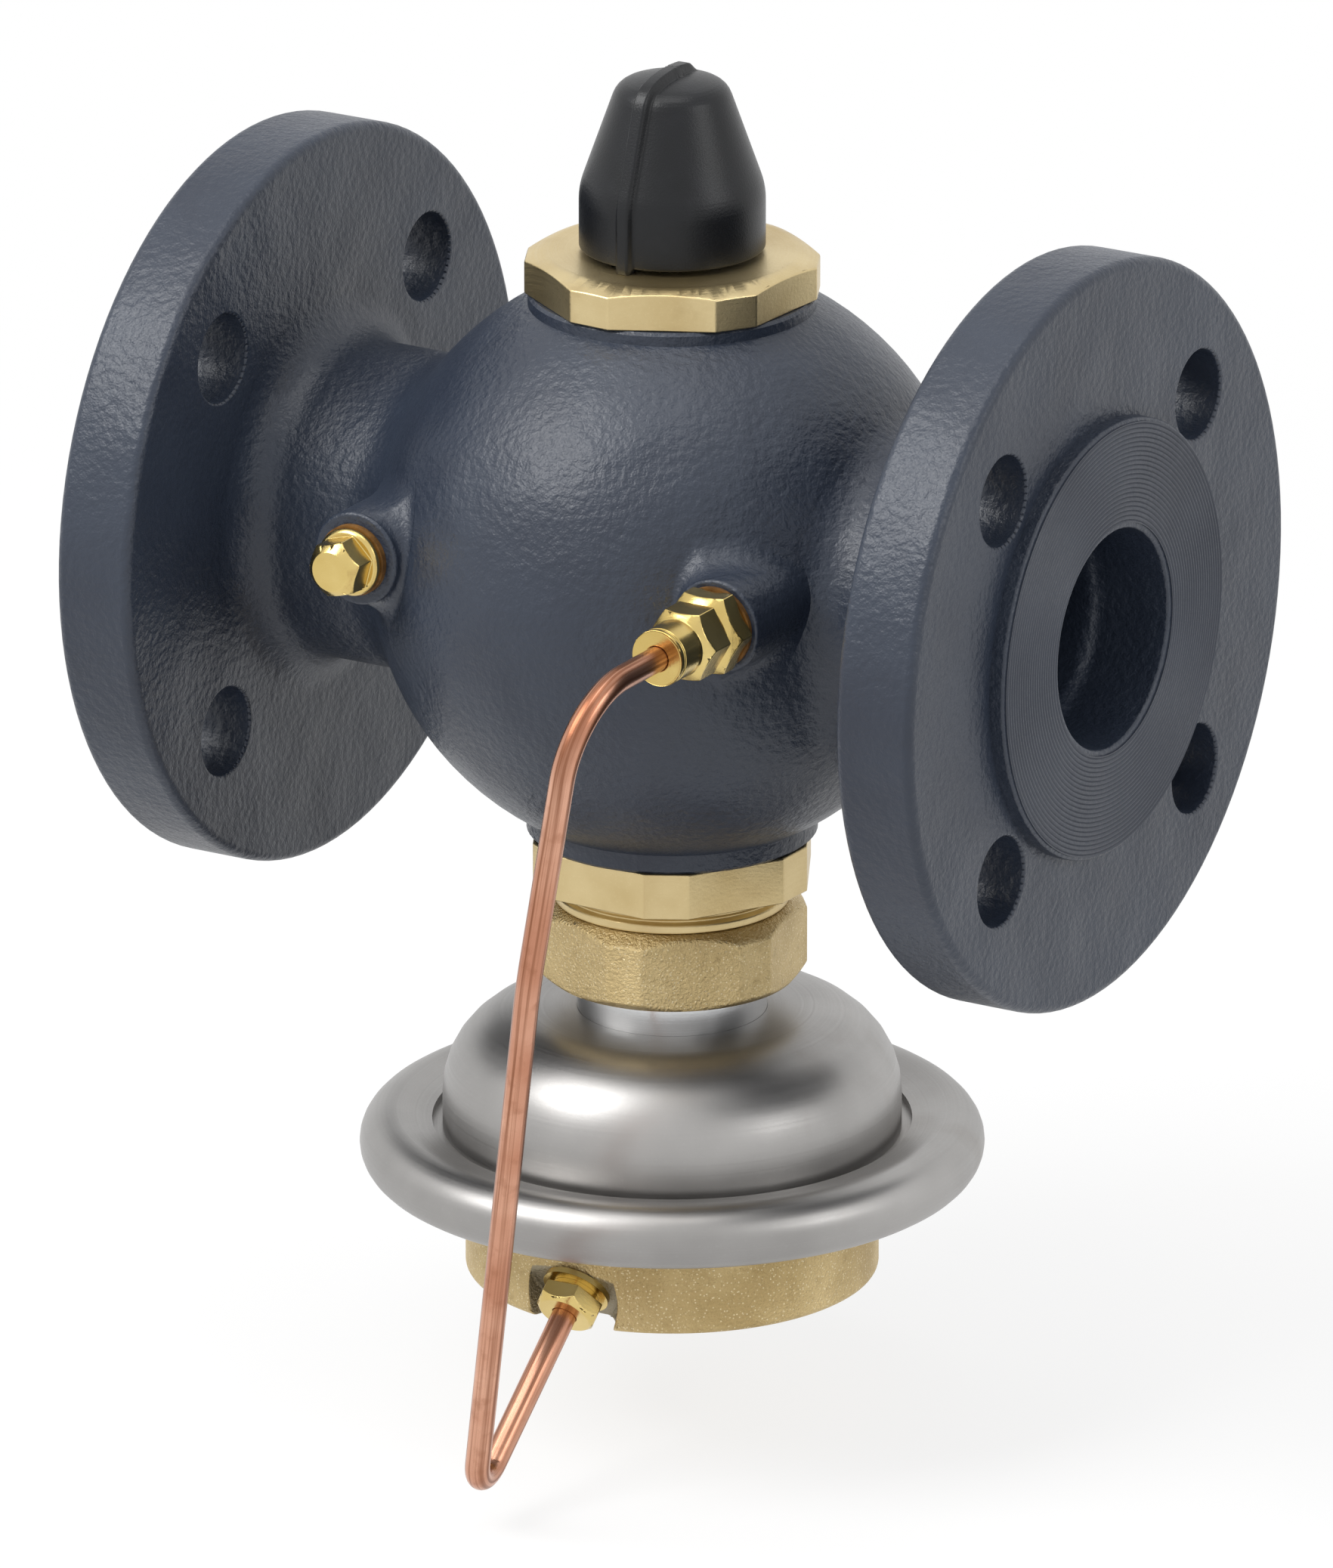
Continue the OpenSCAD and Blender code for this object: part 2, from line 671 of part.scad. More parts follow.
module control_cone()
    color([0.72, 0.73, 0.74]) at_stem()
        turned([[stem_tip_d / 2 + fit_gap, cone_low_z - cone_hub_h], [cone_hub_d / 2, cone_low_z - cone_hub_h],
                [cone_hub_d / 2, cone_low_z], [cone_d / 2, cone_low_z], [cone_d / 2, cone_top_z],
                [cone_spigot_r, cone_top_z], [cone_spigot_r, cone_spigot_z],
                [stem_tip_d / 2 + fit_gap, cone_spigot_z]]);

module cone_seal()
    color([0.06, 0.06, 0.06]) at_stem() ring(cone_d / 2 - seal_gap, cone_spigot_r + fit_gap, cone_top_z, seal_z);

module cone_nut()
    color([0.66, 0.67, 0.68]) at_stem() difference() {
        hexagon(cone_nut_af, cone_spigot_z, stem_tip_z);
        rod(stem_tip_d / 2 + fit_gap, cone_spigot_z - overrun, stem_tip_z + overrun);
    }

module valve_stem()
    color([0.75, 0.76, 0.77]) at_stem()
        turned([[0, stem_joint_z], [stem_d / 2, stem_joint_z], [stem_d / 2, cone_low_z - cone_hub_h],
                [stem_tip_d / 2, cone_low_z - cone_hub_h], [stem_tip_d / 2, stem_tip_z], [0, stem_tip_z]]);

module lower_bonnet() {
    spigot_z = low_spigot_h - low_collar_z;
    groove_z = spigot_z - low_spigot_h / 2;
    bore_r = stem_d / 2 + gland_clear;
    gland_z = spigot_z - bush_h - gland_groove_gap;
    neck_r = low_neck_d / 2;
    mid_z = (low_hex_z + low_neck_z) / 2;
    color([0.78, 0.66, 0.42]) at_stem() difference() {
        union() {
            cut_hexagon(bonnet_af, bonnet_cut_af, low_hex_turn, low_hex_z, -low_collar_z);
            turned([[0, neck_flange_z], [low_thread_r, neck_flange_z], [low_thread_r, low_neck_z],
                    [neck_r, low_neck_z], [neck_r, mid_z - groove_h / 2], [neck_r - groove_depth, mid_z],
                    [neck_r, mid_z + groove_h / 2], [neck_r, low_hex_z], [spigot_r, -low_collar_z],
                    [spigot_r, groove_z - o_groove_w / 2], [spigot_r - o_ring_d, groove_z - o_groove_w / 2],
                    [spigot_r - o_ring_d, groove_z + o_groove_w / 2], [spigot_r, groove_z + o_groove_w / 2],
                    [spigot_r, spigot_z], [0, spigot_z]]);
        }
        rod(bore_r, neck_flange_z - overrun, spigot_z + overrun);
        rod(stem_d / 2 + bush_wall, spigot_z - bush_h, spigot_z + overrun);
        ring(stem_d / 2 + gland_ring_d, bore_r - overrun / 2, gland_z - gland_groove_w, gland_z);
    }
}

module lower_bonnet_o_ring()
    color([0.05, 0.05, 0.05]) at_stem() o_ring(spigot_r - o_ring_d, o_ring_d, low_spigot_h / 2 - low_collar_z, 1);

module stem_guide_bush() {
    spigot_z = low_spigot_h - low_collar_z;
    color([0.66, 0.50, 0.30]) at_stem()
        ring(stem_d / 2 + bush_wall - fit_gap, stem_d / 2 + run_gap, spigot_z - bush_h, spigot_z);
}

module stem_seal()
    color([0.05, 0.05, 0.05]) at_stem()
        o_ring(stem_d / 2, gland_ring_d, low_spigot_h - low_collar_z - bush_h - gland_groove_gap - gland_groove_w / 2, 1);

module union_nut() {
    thread_r = low_thread_r + fit_gap;
    color([0.74, 0.62, 0.38]) at_stem() difference() {
        intersection() {
            cut_hexagon(union_af, union_cut_af, union_turn, union_z, low_neck_z);
            crown(union_af, union_z, low_neck_z, hex_chamfer_in / 2, hex_chamfer_drop);
            translate([0, 0, union_z + low_neck_z]) mirror([0, 0, 1])
                crown(union_af, union_z, low_neck_z, hex_chamfer_in / 4, hex_chamfer_drop / 2);
        }
        rod(thread_r, neck_shoulder_z, low_neck_z + overrun);
        rod(act_neck_d / 2 + union_lip_gap, union_z - overrun, neck_shoulder_z + overrun);
    }
}

module actuator_neck()
    color([0.74, 0.75, 0.76]) at_stem()
        turned([[stem_d / 2 + bush_wall, spring_top_z], [neck_inner_flange_r, spring_top_z],
                [neck_inner_flange_r, dome_z - sheet_t], [act_neck_d / 2, dome_z - sheet_t],
                [act_neck_d / 2, neck_shoulder_z], [low_thread_r - fit_gap, neck_shoulder_z],
                [low_thread_r - fit_gap, neck_flange_z], [stem_d / 2 + bush_wall, neck_flange_z]]);

module neck_bush()
    color([0.66, 0.50, 0.30]) at_stem()
        ring(stem_d / 2 + bush_wall - fit_gap, stem_d / 2 + run_gap, spring_top_z, neck_flange_z);

module actuator_upper_shell() {
    hole_r = act_neck_d / 2 + fit_gap;
    dome_r = dome_d / 2;
    c_r = dome_r - dome_round;
    c_z = dome_z - dome_round;
    color([0.70, 0.71, 0.72]) at_stem()
        turned(concat([[hole_r, dome_z]],
            arc(c_r, c_z, dome_round, 90, 0),
            [[dome_r, clamp_z], [stack_r, clamp_z], [stack_r, rubber_z], [dome_r - sheet_t, rubber_z]],
            arc(c_r, c_z, dome_round - sheet_t, 0, 90),
            [[hole_r, dome_z - sheet_t]]));
}

module rim_clamp_ring()
    color([0.66, 0.67, 0.68]) at_stem()
        turned(concat([[rim_lip_r, clamp_z], [rim_lip_r, clamp_z + sheet_t],
                       [rim_lip_r + rim_lip_w, clamp_z + sheet_t + edge / 4]],
            arc(rim_c_r, rim_c_z, rim_r, 115, -90, 2 * arc_n),
            [[rim_low_lip_r, rim_low_z], [rim_low_lip_r, base_flange_z]],
            arc(rim_c_r, rim_c_z, rim_r - sheet_t, -90, 90, 2 * arc_n),
            [[rim_lip_r + rim_lip_w, clamp_z]]));

module diaphragm() {
    t = diaphragm_t;
    mid_z = rubber_z - t / 2;
    color([0.10, 0.10, 0.10]) at_stem()
        turned(concat([[stem_d / 2 + fit_gap, rubber_z]],
            arc(roll_c_r, mid_z + t / 2, roll_r + t / 2, 180, 0, 2 * arc_n),
            [[stack_r, rubber_z], [stack_r, pan_z]],
            [[roll_c_r + roll_r - t / 2, pan_z]],
            arc(roll_c_r, mid_z + t / 2, roll_r - t / 2, 0, 180, 2 * arc_n),
            [[roll_c_r - roll_r + t / 2, pan_z], [stem_d / 2 + fit_gap, pan_z]]));
}

module upper_diaphragm_plate()
    color([0.70, 0.71, 0.72]) at_stem()
        turned([[stem_d / 2 + fit_gap, rubber_z], [plate_r, rubber_z], [plate_r, rubber_z + plate_t - edge],
                [plate_r - edge, rubber_z + plate_t], [stem_d / 2 + fit_gap, rubber_z + plate_t]]);

module lower_diaphragm_plate()
    color([0.70, 0.71, 0.72]) at_stem()
        turned([[stem_d / 2 + fit_gap, pan_z - plate_t], [plate_r - edge, pan_z - plate_t],
                [plate_r, pan_z - plate_t + edge], [plate_r, pan_z], [stem_d / 2 + fit_gap, pan_z]]);

module actuator_stem() {
    collar_z = rubber_z + plate_t;
    color([0.75, 0.76, 0.77]) at_stem()
        turned([[0, stem_low_z], [stem_d / 2 - edge, stem_low_z], [stem_d / 2, stem_low_z + edge],
                [stem_d / 2, collar_z], [plate_collar_r, collar_z], [plate_collar_r, collar_z + plate_collar_t],
                [stem_d / 2, collar_z + plate_collar_t], [stem_d / 2, stem_joint_z], [0, stem_joint_z]]);
}

module diaphragm_nut()
    color([0.66, 0.67, 0.68]) at_stem() difference() {
        hexagon(diaphragm_nut_af, pan_z - plate_t - diaphragm_nut_t, pan_z - plate_t);
        rod(stem_d / 2 + fit_gap, stem_low_z - overrun, pan_z);
    }

// One unbroken round tube along a path, with an optional bore; ref is never parallel to the path
function ring_points(path, i, ref, r, n) =
    let (last = len(path) - 1,
         t = unit(path[min(i + 1, last)] - path[max(i - 1, 0)]),
         u = unit(cross(t, ref)), v = cross(t, u))
    [for (k = [0 : n - 1]) path[i] + r * cos(360 * k / n) * u + r * sin(360 * k / n) * v];

module tube(path, ref, r, bore_r, n) {
    m = len(path);
    outer = [for (i = [0 : m - 1]) each ring_points(path, i, ref, r, n)];
    inner = bore_r > 0 ? [for (i = [0 : m - 1]) each ring_points(path, i, ref, bore_r, n)] : [];
    o = m * n;
    skin = [for (i = [0 : m - 2], k = [0 : n - 1]) let (j = (k + 1) % n)
            [i * n + k, i * n + j, (i + 1) * n + j, (i + 1) * n + k]];
    bore = [for (i = [0 : m - 2], k = [0 : n - 1]) let (j = (k + 1) % n)
            [o + i * n + j, o + i * n + k, o + (i + 1) * n + k, o + (i + 1) * n + j]];
    ends = bore_r > 0
        ? [for (k = [0 : n - 1]) let (j = (k + 1) % n) each
           [[o + k, o + j, j, k], [(m - 1) * n + k, (m - 1) * n + j, o + (m - 1) * n + j, o + (m - 1) * n + k]]]
        : [[for (k = [n - 1 : -1 : 0]) k], [for (k = [0 : n - 1]) (m - 1) * n + k]];
    polyhedron(concat(outer, inner), concat(skin, bore_r > 0 ? bore : [], ends), convexity = 10);
}

// Height share at a share s of the coil: the closed end turns lie flat
function spring_rise(s) = let (e = spring_end_share) s < e ? 0 : s > 1 - e ? 1 : (s - e) / (1 - 2 * e);

module control_spring() {
    steps = spring_turns * spring_ring_n;
    low = spring_low_z + spring_wire_d / 2 + spring_gap;
    high = spring_top_z - spring_wire_d / 2 - spring_gap;
    path = [for (i = [0 : steps]) let (s = i / steps, a = 360 * spring_turns * s)
            [spring_d / 2 * cos(a), spring_d / 2 * sin(a), low + (high - low) * spring_rise(s)]];
    color([0.55, 0.56, 0.58]) at_stem() tube(path, [0, 0, 1], spring_wire_d / 2, 0, spring_side_n);
}

module actuator_lower_pan() {
    wall_r = pan_wall_r;
    color([0.70, 0.71, 0.72]) at_stem()
        turned([[pan_hole_r, pan_floor_z - sheet_t], [wall_r - fit_gap, pan_floor_z - sheet_t],
                [wall_r - fit_gap, base_top_z], [stack_r, base_top_z], [stack_r, pan_z],
                [wall_r - sheet_t, pan_z], [wall_r - sheet_t, pan_floor_z], [pan_hole_r, pan_floor_z]]);
}

module actuator_base() {
    base_r = base_d / 2;
    seat_z = pan_floor_z - sheet_t;
    color([0.72, 0.60, 0.36]) difference() {
        at_stem() turned([[0, base_z], [base_r - base_edge, base_z], [base_r, base_z + base_edge],
                [base_r, base_flange_z], [stack_r, base_flange_z], [stack_r, base_top_z],
                [pan_wall_r, base_top_z], [pan_wall_r, seat_z], [base_cavity_r, seat_z],
                [base_cavity_r, base_z + base_floor_t], [0, base_z + base_floor_t]]);
        at_low_tap() {
            rod(low_pocket_r, 0, base_d);
            rod(low_tap_thread_r, -low_tap_thread_depth, overrun);
            rod(low_tap_hole_r, -low_tap_hole_h, overrun);
        }
    }
}

module tap_plug()
    color([0.80, 0.68, 0.42]) at_tap(-1) {
        face = plug_gasket_t + plug_collar_t + plug_hex_h;
        intersection() {
            rotate([0, 0, plug_turn]) hexagon(plug_af, plug_gasket_t + plug_collar_t / 2, face);
            crown(plug_af, 0, face, plug_face_chamfer, plug_face_chamfer);
        }
        turned([[0, -plug_shank_h], [tap_thread_d / 2 - fit_gap, -plug_shank_h], [tap_thread_d / 2 - fit_gap, plug_gasket_t],
                [plug_collar_d / 2, plug_gasket_t], [plug_collar_d / 2, plug_gasket_t + plug_collar_t - edge],
                [plug_collar_d / 2 - edge, plug_gasket_t + plug_collar_t], [0, plug_gasket_t + plug_collar_t]]);
    }

module tap_plug_gasket()
    color([0.45, 0.33, 0.16]) at_tap(-1) ring(plug_gasket_r, tap_thread_d / 2, 0, plug_gasket_t);

module upper_connector() {
    hex_z = gasket_t;
    face = gasket_t + connector_h;
    color([0.78, 0.66, 0.40]) at_tap(1) difference() {
        union() {
            rod(tap_thread_d / 2 - fit_gap, -plug_shank_h, hex_z);
            intersection() {
                hexagon(connector_af, hex_z, face);
                crown(connector_af, hex_z, face, hex_face_chamfer, hex_face_chamfer);
            }
            rod(connector_spigot_r, face - overrun, face + connector_spigot_h);
        }
        rod(pipe_r - pipe_wall, -plug_shank_h - overrun, face);
        rod(pipe_r + fit_gap, face + connector_spigot_h - ferrule_h - pipe_socket_h, face + connector_spigot_h + overrun);
    }
}

module upper_connector_gasket()
    color([0.35, 0.27, 0.16]) at_tap(1) ring(gasket_r, tap_thread_d / 2, 0, gasket_t);

module upper_ferrule() {
    low = gasket_t + connector_h + connector_spigot_h;
    color([0.82, 0.70, 0.44]) at_tap(1)
        turned([[pipe_r + fit_gap, low], [ferrule_r, low], [pipe_r + 2 * fit_gap + edge, low + ferrule_h],
                [pipe_r + fit_gap, low + ferrule_h]]);
}

module upper_compression_nut() {
    low = gasket_t + connector_h + nut_gap;
    mid = low + nut_h;
    high = mid + nut_tail_h;
    tail_r = nut_tail_d / 2;
    back = high - nut_groove_back;
    color([0.80, 0.68, 0.42]) at_tap(1) difference() {
        union() {
            intersection() {
                hexagon(nut_af, low, mid);
                crown(nut_af, low, mid, hex_face_chamfer, hex_face_chamfer);
            }
            turned([[0, mid - overrun], [tail_r, mid - overrun], [tail_r, back - nut_groove_w],
                    [tail_r - nut_groove_depth, back - nut_groove_w], [tail_r - nut_groove_depth, back],
                    [tail_r, back], [tail_r, high - edge / 2], [tail_r - edge / 2, high], [0, high]]);
        }
        rod(pipe_r + fit_gap, low, high + overrun);
        rod(connector_spigot_r + fit_gap, low - overrun, low - nut_gap + connector_spigot_h + ferrule_h + fit_gap);
    }
}

module lower_connector() {
    high = low_washer_t + low_shank_h;
    color([0.78, 0.66, 0.40]) at_low_tap() difference() {
        union() {
            rod(low_tap_thread_r - fit_gap, -low_tap_thread_depth + edge, high - edge);
            rod(low_spigot_r, high - overrun, high + low_nut_h / 2 - overrun);
        }
        rod(pipe_r - pipe_wall, -low_tap_thread_depth, high);
        rod(pipe_r + fit_gap, high - low_socket_h, high + low_nut_h);
    }
}

module lower_connector_washer()
    color([0.80, 0.68, 0.42]) at_low_tap() ring(low_washer_r, low_tap_thread_r, 0, low_washer_t);

module lower_ferrule() {
    low = low_washer_t + low_shank_h + low_nut_h / 2 - overrun;
    color([0.82, 0.70, 0.44]) at_low_tap()
        ring(low_spigot_r - edge, pipe_r + fit_gap, low, low + overrun);
}

module lower_compression_nut() {
    low = low_washer_t + low_shank_h;
    color([0.80, 0.68, 0.42]) at_low_tap() difference() {
        intersection() {
            hexagon(low_nut_af, low, low + low_nut_h);
            crown(low_nut_af, low, low + low_nut_h, hex_face_chamfer / 2, hex_face_chamfer / 2);
        }
        rod(pipe_r + fit_gap, low, low + low_nut_h + overrun);
        rod(low_spigot_r + fit_gap, low - overrun, low + low_nut_h / 2 + fit_gap);
    }
}

// Arc that rounds the corner b between a and c
function bend(a, b, c, r) =
    let (u = unit(a - b), w = unit(c - b), half = acos(u * w) / 2, t = r / tan(half), o = b + unit(u + w) * r / sin(half),
         p = b + u * t - o, q = b + w * t - o, s = 180 - 2 * half)
    [for (i = [0 : pipe_bend_n]) let (k = i / pipe_bend_n) o + (sin((1 - k) * s) * p + sin(k * s) * q) / sin(s)];

module impulse_tube() {
    up_start = [tap_x, -tap_boss_reach - gasket_t - connector_h - connector_spigot_h + ferrule_h + pipe_socket_h, tap_z];
    up_corner = [tap_x, -tap_boss_reach - nut_face - pipe_run, tap_z];
    dir = [sin(low_tap_turn) * cos(low_tap_tilt), -cos(low_tap_turn) * cos(low_tap_tilt), -sin(low_tap_tilt)];
    tap = [sin(low_tap_turn) * low_tap_r, -cos(low_tap_turn) * low_tap_r, low_tap_z];
    low_start = tap + dir * (low_washer_t + low_shank_h - low_socket_h + 2 * fit_gap);
    low_corner = tap + dir * (low_face + pipe_short_leg);
    path = concat([up_start],
        bend(up_start, up_corner, pipe_bow, pipe_bend_r),
        bend(up_corner, pipe_bow, low_corner, pipe_bow_r),
        bend(pipe_bow, low_corner, low_start, pipe_sharp_r),
        [low_start]);
    color([0.72, 0.45, 0.33]) at_stem() tube(path, [1, 0, 0], pipe_r, pipe_r - pipe_wall, pipe_side_n);
}

valve_body();
seat_ring();
top_bonnet();
top_bonnet_o_ring();
restrictor_key();
setting_knob();
setting_spindle();
spindle_o_rings();
spindle_circlip();
flow_restrictor();
control_cone();
cone_seal();
cone_nut();
valve_stem();
lower_bonnet();
lower_bonnet_o_ring();
stem_guide_bush();
stem_seal();
union_nut();
actuator_neck();
neck_bush();
actuator_upper_shell();
rim_clamp_ring();
diaphragm();
upper_diaphragm_plate();
lower_diaphragm_plate();
actuator_stem();
diaphragm_nut();
control_spring();
actuator_lower_pan();
actuator_base();
tap_plug();
tap_plug_gasket();
upper_connector();
upper_connector_gasket();
upper_ferrule();
upper_compression_nut();
lower_connector();
lower_connector_washer();
lower_ferrule();
lower_compression_nut();
impulse_tube();
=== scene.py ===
# Flow regulator valve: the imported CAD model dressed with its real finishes. Lengths in metres.
import math
import bmesh
import bpy
import numpy as np
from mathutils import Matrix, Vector


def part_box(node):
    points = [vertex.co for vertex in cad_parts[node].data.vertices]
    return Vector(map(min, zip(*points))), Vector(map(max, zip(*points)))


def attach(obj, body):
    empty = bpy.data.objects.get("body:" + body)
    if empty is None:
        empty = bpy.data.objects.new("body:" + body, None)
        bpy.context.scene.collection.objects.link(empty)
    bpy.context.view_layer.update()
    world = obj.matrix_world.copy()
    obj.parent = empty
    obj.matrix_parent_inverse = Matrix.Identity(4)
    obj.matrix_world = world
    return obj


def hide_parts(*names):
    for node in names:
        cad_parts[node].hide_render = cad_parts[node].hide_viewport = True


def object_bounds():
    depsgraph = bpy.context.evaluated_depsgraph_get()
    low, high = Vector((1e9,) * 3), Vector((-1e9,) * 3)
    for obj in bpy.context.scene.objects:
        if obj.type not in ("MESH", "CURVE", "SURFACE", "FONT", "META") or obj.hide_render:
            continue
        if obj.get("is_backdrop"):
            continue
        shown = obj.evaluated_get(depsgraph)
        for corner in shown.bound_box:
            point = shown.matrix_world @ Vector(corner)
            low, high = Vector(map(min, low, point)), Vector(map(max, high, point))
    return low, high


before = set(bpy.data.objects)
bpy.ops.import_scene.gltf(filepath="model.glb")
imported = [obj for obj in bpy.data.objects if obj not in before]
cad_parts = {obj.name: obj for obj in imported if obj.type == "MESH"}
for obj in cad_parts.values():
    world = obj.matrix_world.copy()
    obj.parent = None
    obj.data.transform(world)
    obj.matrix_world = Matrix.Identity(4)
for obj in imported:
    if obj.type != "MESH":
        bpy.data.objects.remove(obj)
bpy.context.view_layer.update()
mm = 0.001

# The valve in the frame: inlet face at x = 0, stem axis upright through stemX
body = {"stemX": 100 * mm, "length": 200 * mm, "bulbRadius": 60 * mm, "tapOffset": 41 * mm, "tapHeight": 8 * mm,
        "tapFace": -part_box("tap_plug_gasket")[1].y}
stemAxis = np.array([body["stemX"], 0.0, 0.0])

# The lower tap in the actuator's base: distance from the stem axis, height, slope and turn in degrees, milled radius
lowTap = {"radius": 38.1 * mm, "z": -141.7 * mm, "tilt": 38, "turn": 1, "pocket": 10 * mm}
lowTurn, lowTilt = math.radians(lowTap["turn"]), math.radians(lowTap["tilt"])
lowTapPoint = np.array([math.sin(lowTurn) * lowTap["radius"], -math.cos(lowTurn) * lowTap["radius"], lowTap["z"]])

camera = {
    "target": (98.68 * mm, 0.0, -47.77 * mm), "azimuth": 30.462, "elevation": 19.199, "distance": 3.639,
    "focalPixels": 24236, "imageHeight": 2075, "sensor": 36.0, "clipNear": 0.05, "clipFar": 60.0,
}


def viewDirection(azimuth, elevation):
    # from the object towards the viewer; azimuth 0 looks along +Y
    a, e = math.radians(azimuth), math.radians(elevation)
    return Vector((math.sin(a) * math.cos(e), -math.cos(a) * math.cos(e), math.sin(e)))


def aimAt(holder, target, away, distance):
    # stands the camera or lamp the distance away from the target and turns its -Z axis to it
    holder.location = Vector(target) + away * distance
    holder.rotation_euler = (-away).to_track_quat("-Z", "Y").to_euler()
    bpy.context.scene.collection.objects.link(holder)


def makeCamera(c):
    # the sensor spans the image's long side: the lens is the focal length in pixels over that side, times the sensor
    data = bpy.data.cameras.new("photoCamera")
    data.sensor_width = c["sensor"]
    data.lens = c["focalPixels"] / c["imageHeight"] * c["sensor"]
    data.clip_start, data.clip_end = c["clipNear"], c["clipFar"]
    holder = bpy.data.objects.new("photoCamera", data)
    aimAt(holder, c["target"], viewDirection(c["azimuth"], c["elevation"]), c["distance"])
    bpy.context.scene.camera = holder


makeCamera(camera)
print("camera set")

# Distances at which points merge, angles in degrees that count as flat or stay soft, and an outline's steps for each
# rounding and its least gap between points, as a share of the spacing
surfaces = {"gridMerge": 1e-7, "solidMerge": 1e-6, "flatAngle": 0.3, "sheetAngle": 32, "outlineSteps": 5,
            "outlineGap": 0.15}
machined = {"segments": 2, "angle": 28, "normalWeight": 60}  # how the edges of a machined piece are broken


def gridQuads(rows, cols):
    # corner numbers of each square of a grid that closes on itself in both directions
    i, j = np.arange(rows)[:, None], np.arange(cols)[None, :]
    ni, nj = (i + 1) % rows, (j + 1) % cols
    return np.stack([i * cols + j, i * cols + nj, ni * cols + nj, ni * cols + j], -1).reshape(-1, 4)


def enclosedVolume(points, quads):
    # a sixth of the triple product of each triangle's corners, summed over both halves of every square
    a, b, c, d = (points[quads[:, k]] for k in range(4))
    return (np.einsum("ij,ij->", a, np.cross(b, c)) + np.einsum("ij,ij->", a, np.cross(c, d))) / 6


def shadeSmooth(mesh):
    mesh.polygons.foreach_set("use_smooth", np.ones(len(mesh.polygons), bool))


def finishPiece(piece, bodyName, material, replaced=()):
    # gives the piece its finish, the body that it rides on and the CAD nodes that it stands for
    piece.data.materials.clear()
    piece.data.materials.append(material)
    bpy.context.scene.collection.objects.link(piece)
    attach(piece, bodyName)
    if replaced:
        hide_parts(*replaced)


def surfacePiece(name, grid, crease):
    # a closed surface from a grid of points; seam and pole points that coincide are merged, faces point outwards
    points, quads = grid.reshape(-1, 3), gridQuads(*grid.shape[:2])
    if enclosedVolume(points - points.mean(0), quads) < 0:
        quads = quads[:, ::-1]
    mesh = bpy.data.meshes.new(name)
    mesh.vertices.add(len(points))
    mesh.vertices.foreach_set("co", points.astype(np.float32).ravel())
    mesh.loops.add(quads.size)
    mesh.loops.foreach_set("vertex_index", quads.astype(np.int32).ravel())
    mesh.polygons.add(len(quads))
    mesh.polygons.foreach_set("loop_start", np.arange(len(quads), dtype=np.int32) * 4)
    mesh.update(calc_edges=True)
    shape = bmesh.new()
    shape.from_mesh(mesh)
    bmesh.ops.remove_doubles(shape, verts=shape.verts, dist=surfaces["gridMerge"])
    shape.to_mesh(mesh)
    shape.free()
    shadeSmooth(mesh)
    mesh.set_sharp_from_angle(angle=math.radians(crease))
    return bpy.data.objects.new(name, mesh)


def runLength(line):
    # distance of each point from the first, along the line
    return np.concatenate([[0], np.cumsum(np.linalg.norm(np.diff(line, axis=0), axis=1))])


def roundedOutline(corners, spacing):
    # corners are (radius, height, rounding): each becomes a quadratic curve that begins and ends the rounding away
    # from it, at most half a leg, and the whole line gets points at the spacing as well
    pts = np.array([c[:2] for c in corners], float)
    out = [pts[:1]]
    t = np.linspace(0, 1, surfaces["outlineSteps"] + 1)[:, None]
    for k in range(1, len(pts) - 1):
        back, on = pts[k - 1] - pts[k], pts[k + 1] - pts[k]
        cut = min(corners[k][2], np.linalg.norm(back) * 0.5, np.linalg.norm(on) * 0.5)
        if cut <= 0:
            out.append(pts[k:k + 1])
            continue
        p, q = pts[k] + back / np.linalg.norm(back) * cut, pts[k] + on / np.linalg.norm(on) * cut
        out.append((1 - t) ** 2 * p + 2 * t * (1 - t) * pts[k] + t ** 2 * q)
    line = np.concatenate(out + [pts[-1:]])
    run = runLength(line)
    stops = np.unique(np.concatenate([run, np.arange(0, run[-1], spacing)]).round(9))
    stops = stops[np.concatenate([[True], np.diff(stops) > spacing * surfaces["outlineGap"]])]
    return np.stack([np.interp(stops, run, line[:, k]) for k in (0, 1)], -1)


def spunGrid(outline, around):
    # each outline point (radius, height) is carried round the upright axis
    angle = np.linspace(0, 2 * np.pi, around, endpoint=False)
    r, z = outline[:, 0, None], outline[:, 1, None]
    return np.stack([r * np.cos(angle), r * np.sin(angle), z + 0 * angle], -1)


def smoothStep(x):
    # 0 below 0, 1 above 1, and between them three squares less two cubes
    x = np.clip(x, 0, 1)
    return x * x * (3 - 2 * x)


def mergedCopy(name, node):
    # a smooth shaded copy of the CAD solid: doubles merged, flat faces joined
    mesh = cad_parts[node].data.copy()
    mesh.name = name
    shape = bmesh.new()
    shape.from_mesh(mesh)
    bmesh.ops.remove_doubles(shape, verts=shape.verts, dist=surfaces["solidMerge"])
    bmesh.ops.dissolve_limit(shape, angle_limit=math.radians(surfaces["flatAngle"]), verts=shape.verts,
                             edges=shape.edges)
    shape.to_mesh(mesh)
    shape.free()
    if "custom_normal" in mesh.attributes:
        mesh.attributes.remove(mesh.attributes["custom_normal"])
    shadeSmooth(mesh)
    return bpy.data.objects.new(name, mesh)


def smoothCopy(name, node, bodyName, material):
    # pressed sheet: only edges sharper than the sheet's angle stay crisp
    piece = mergedCopy(name, node)
    piece.data.set_sharp_from_angle(angle=math.radians(surfaces["sheetAngle"]))
    finishPiece(piece, bodyName, material, [node])


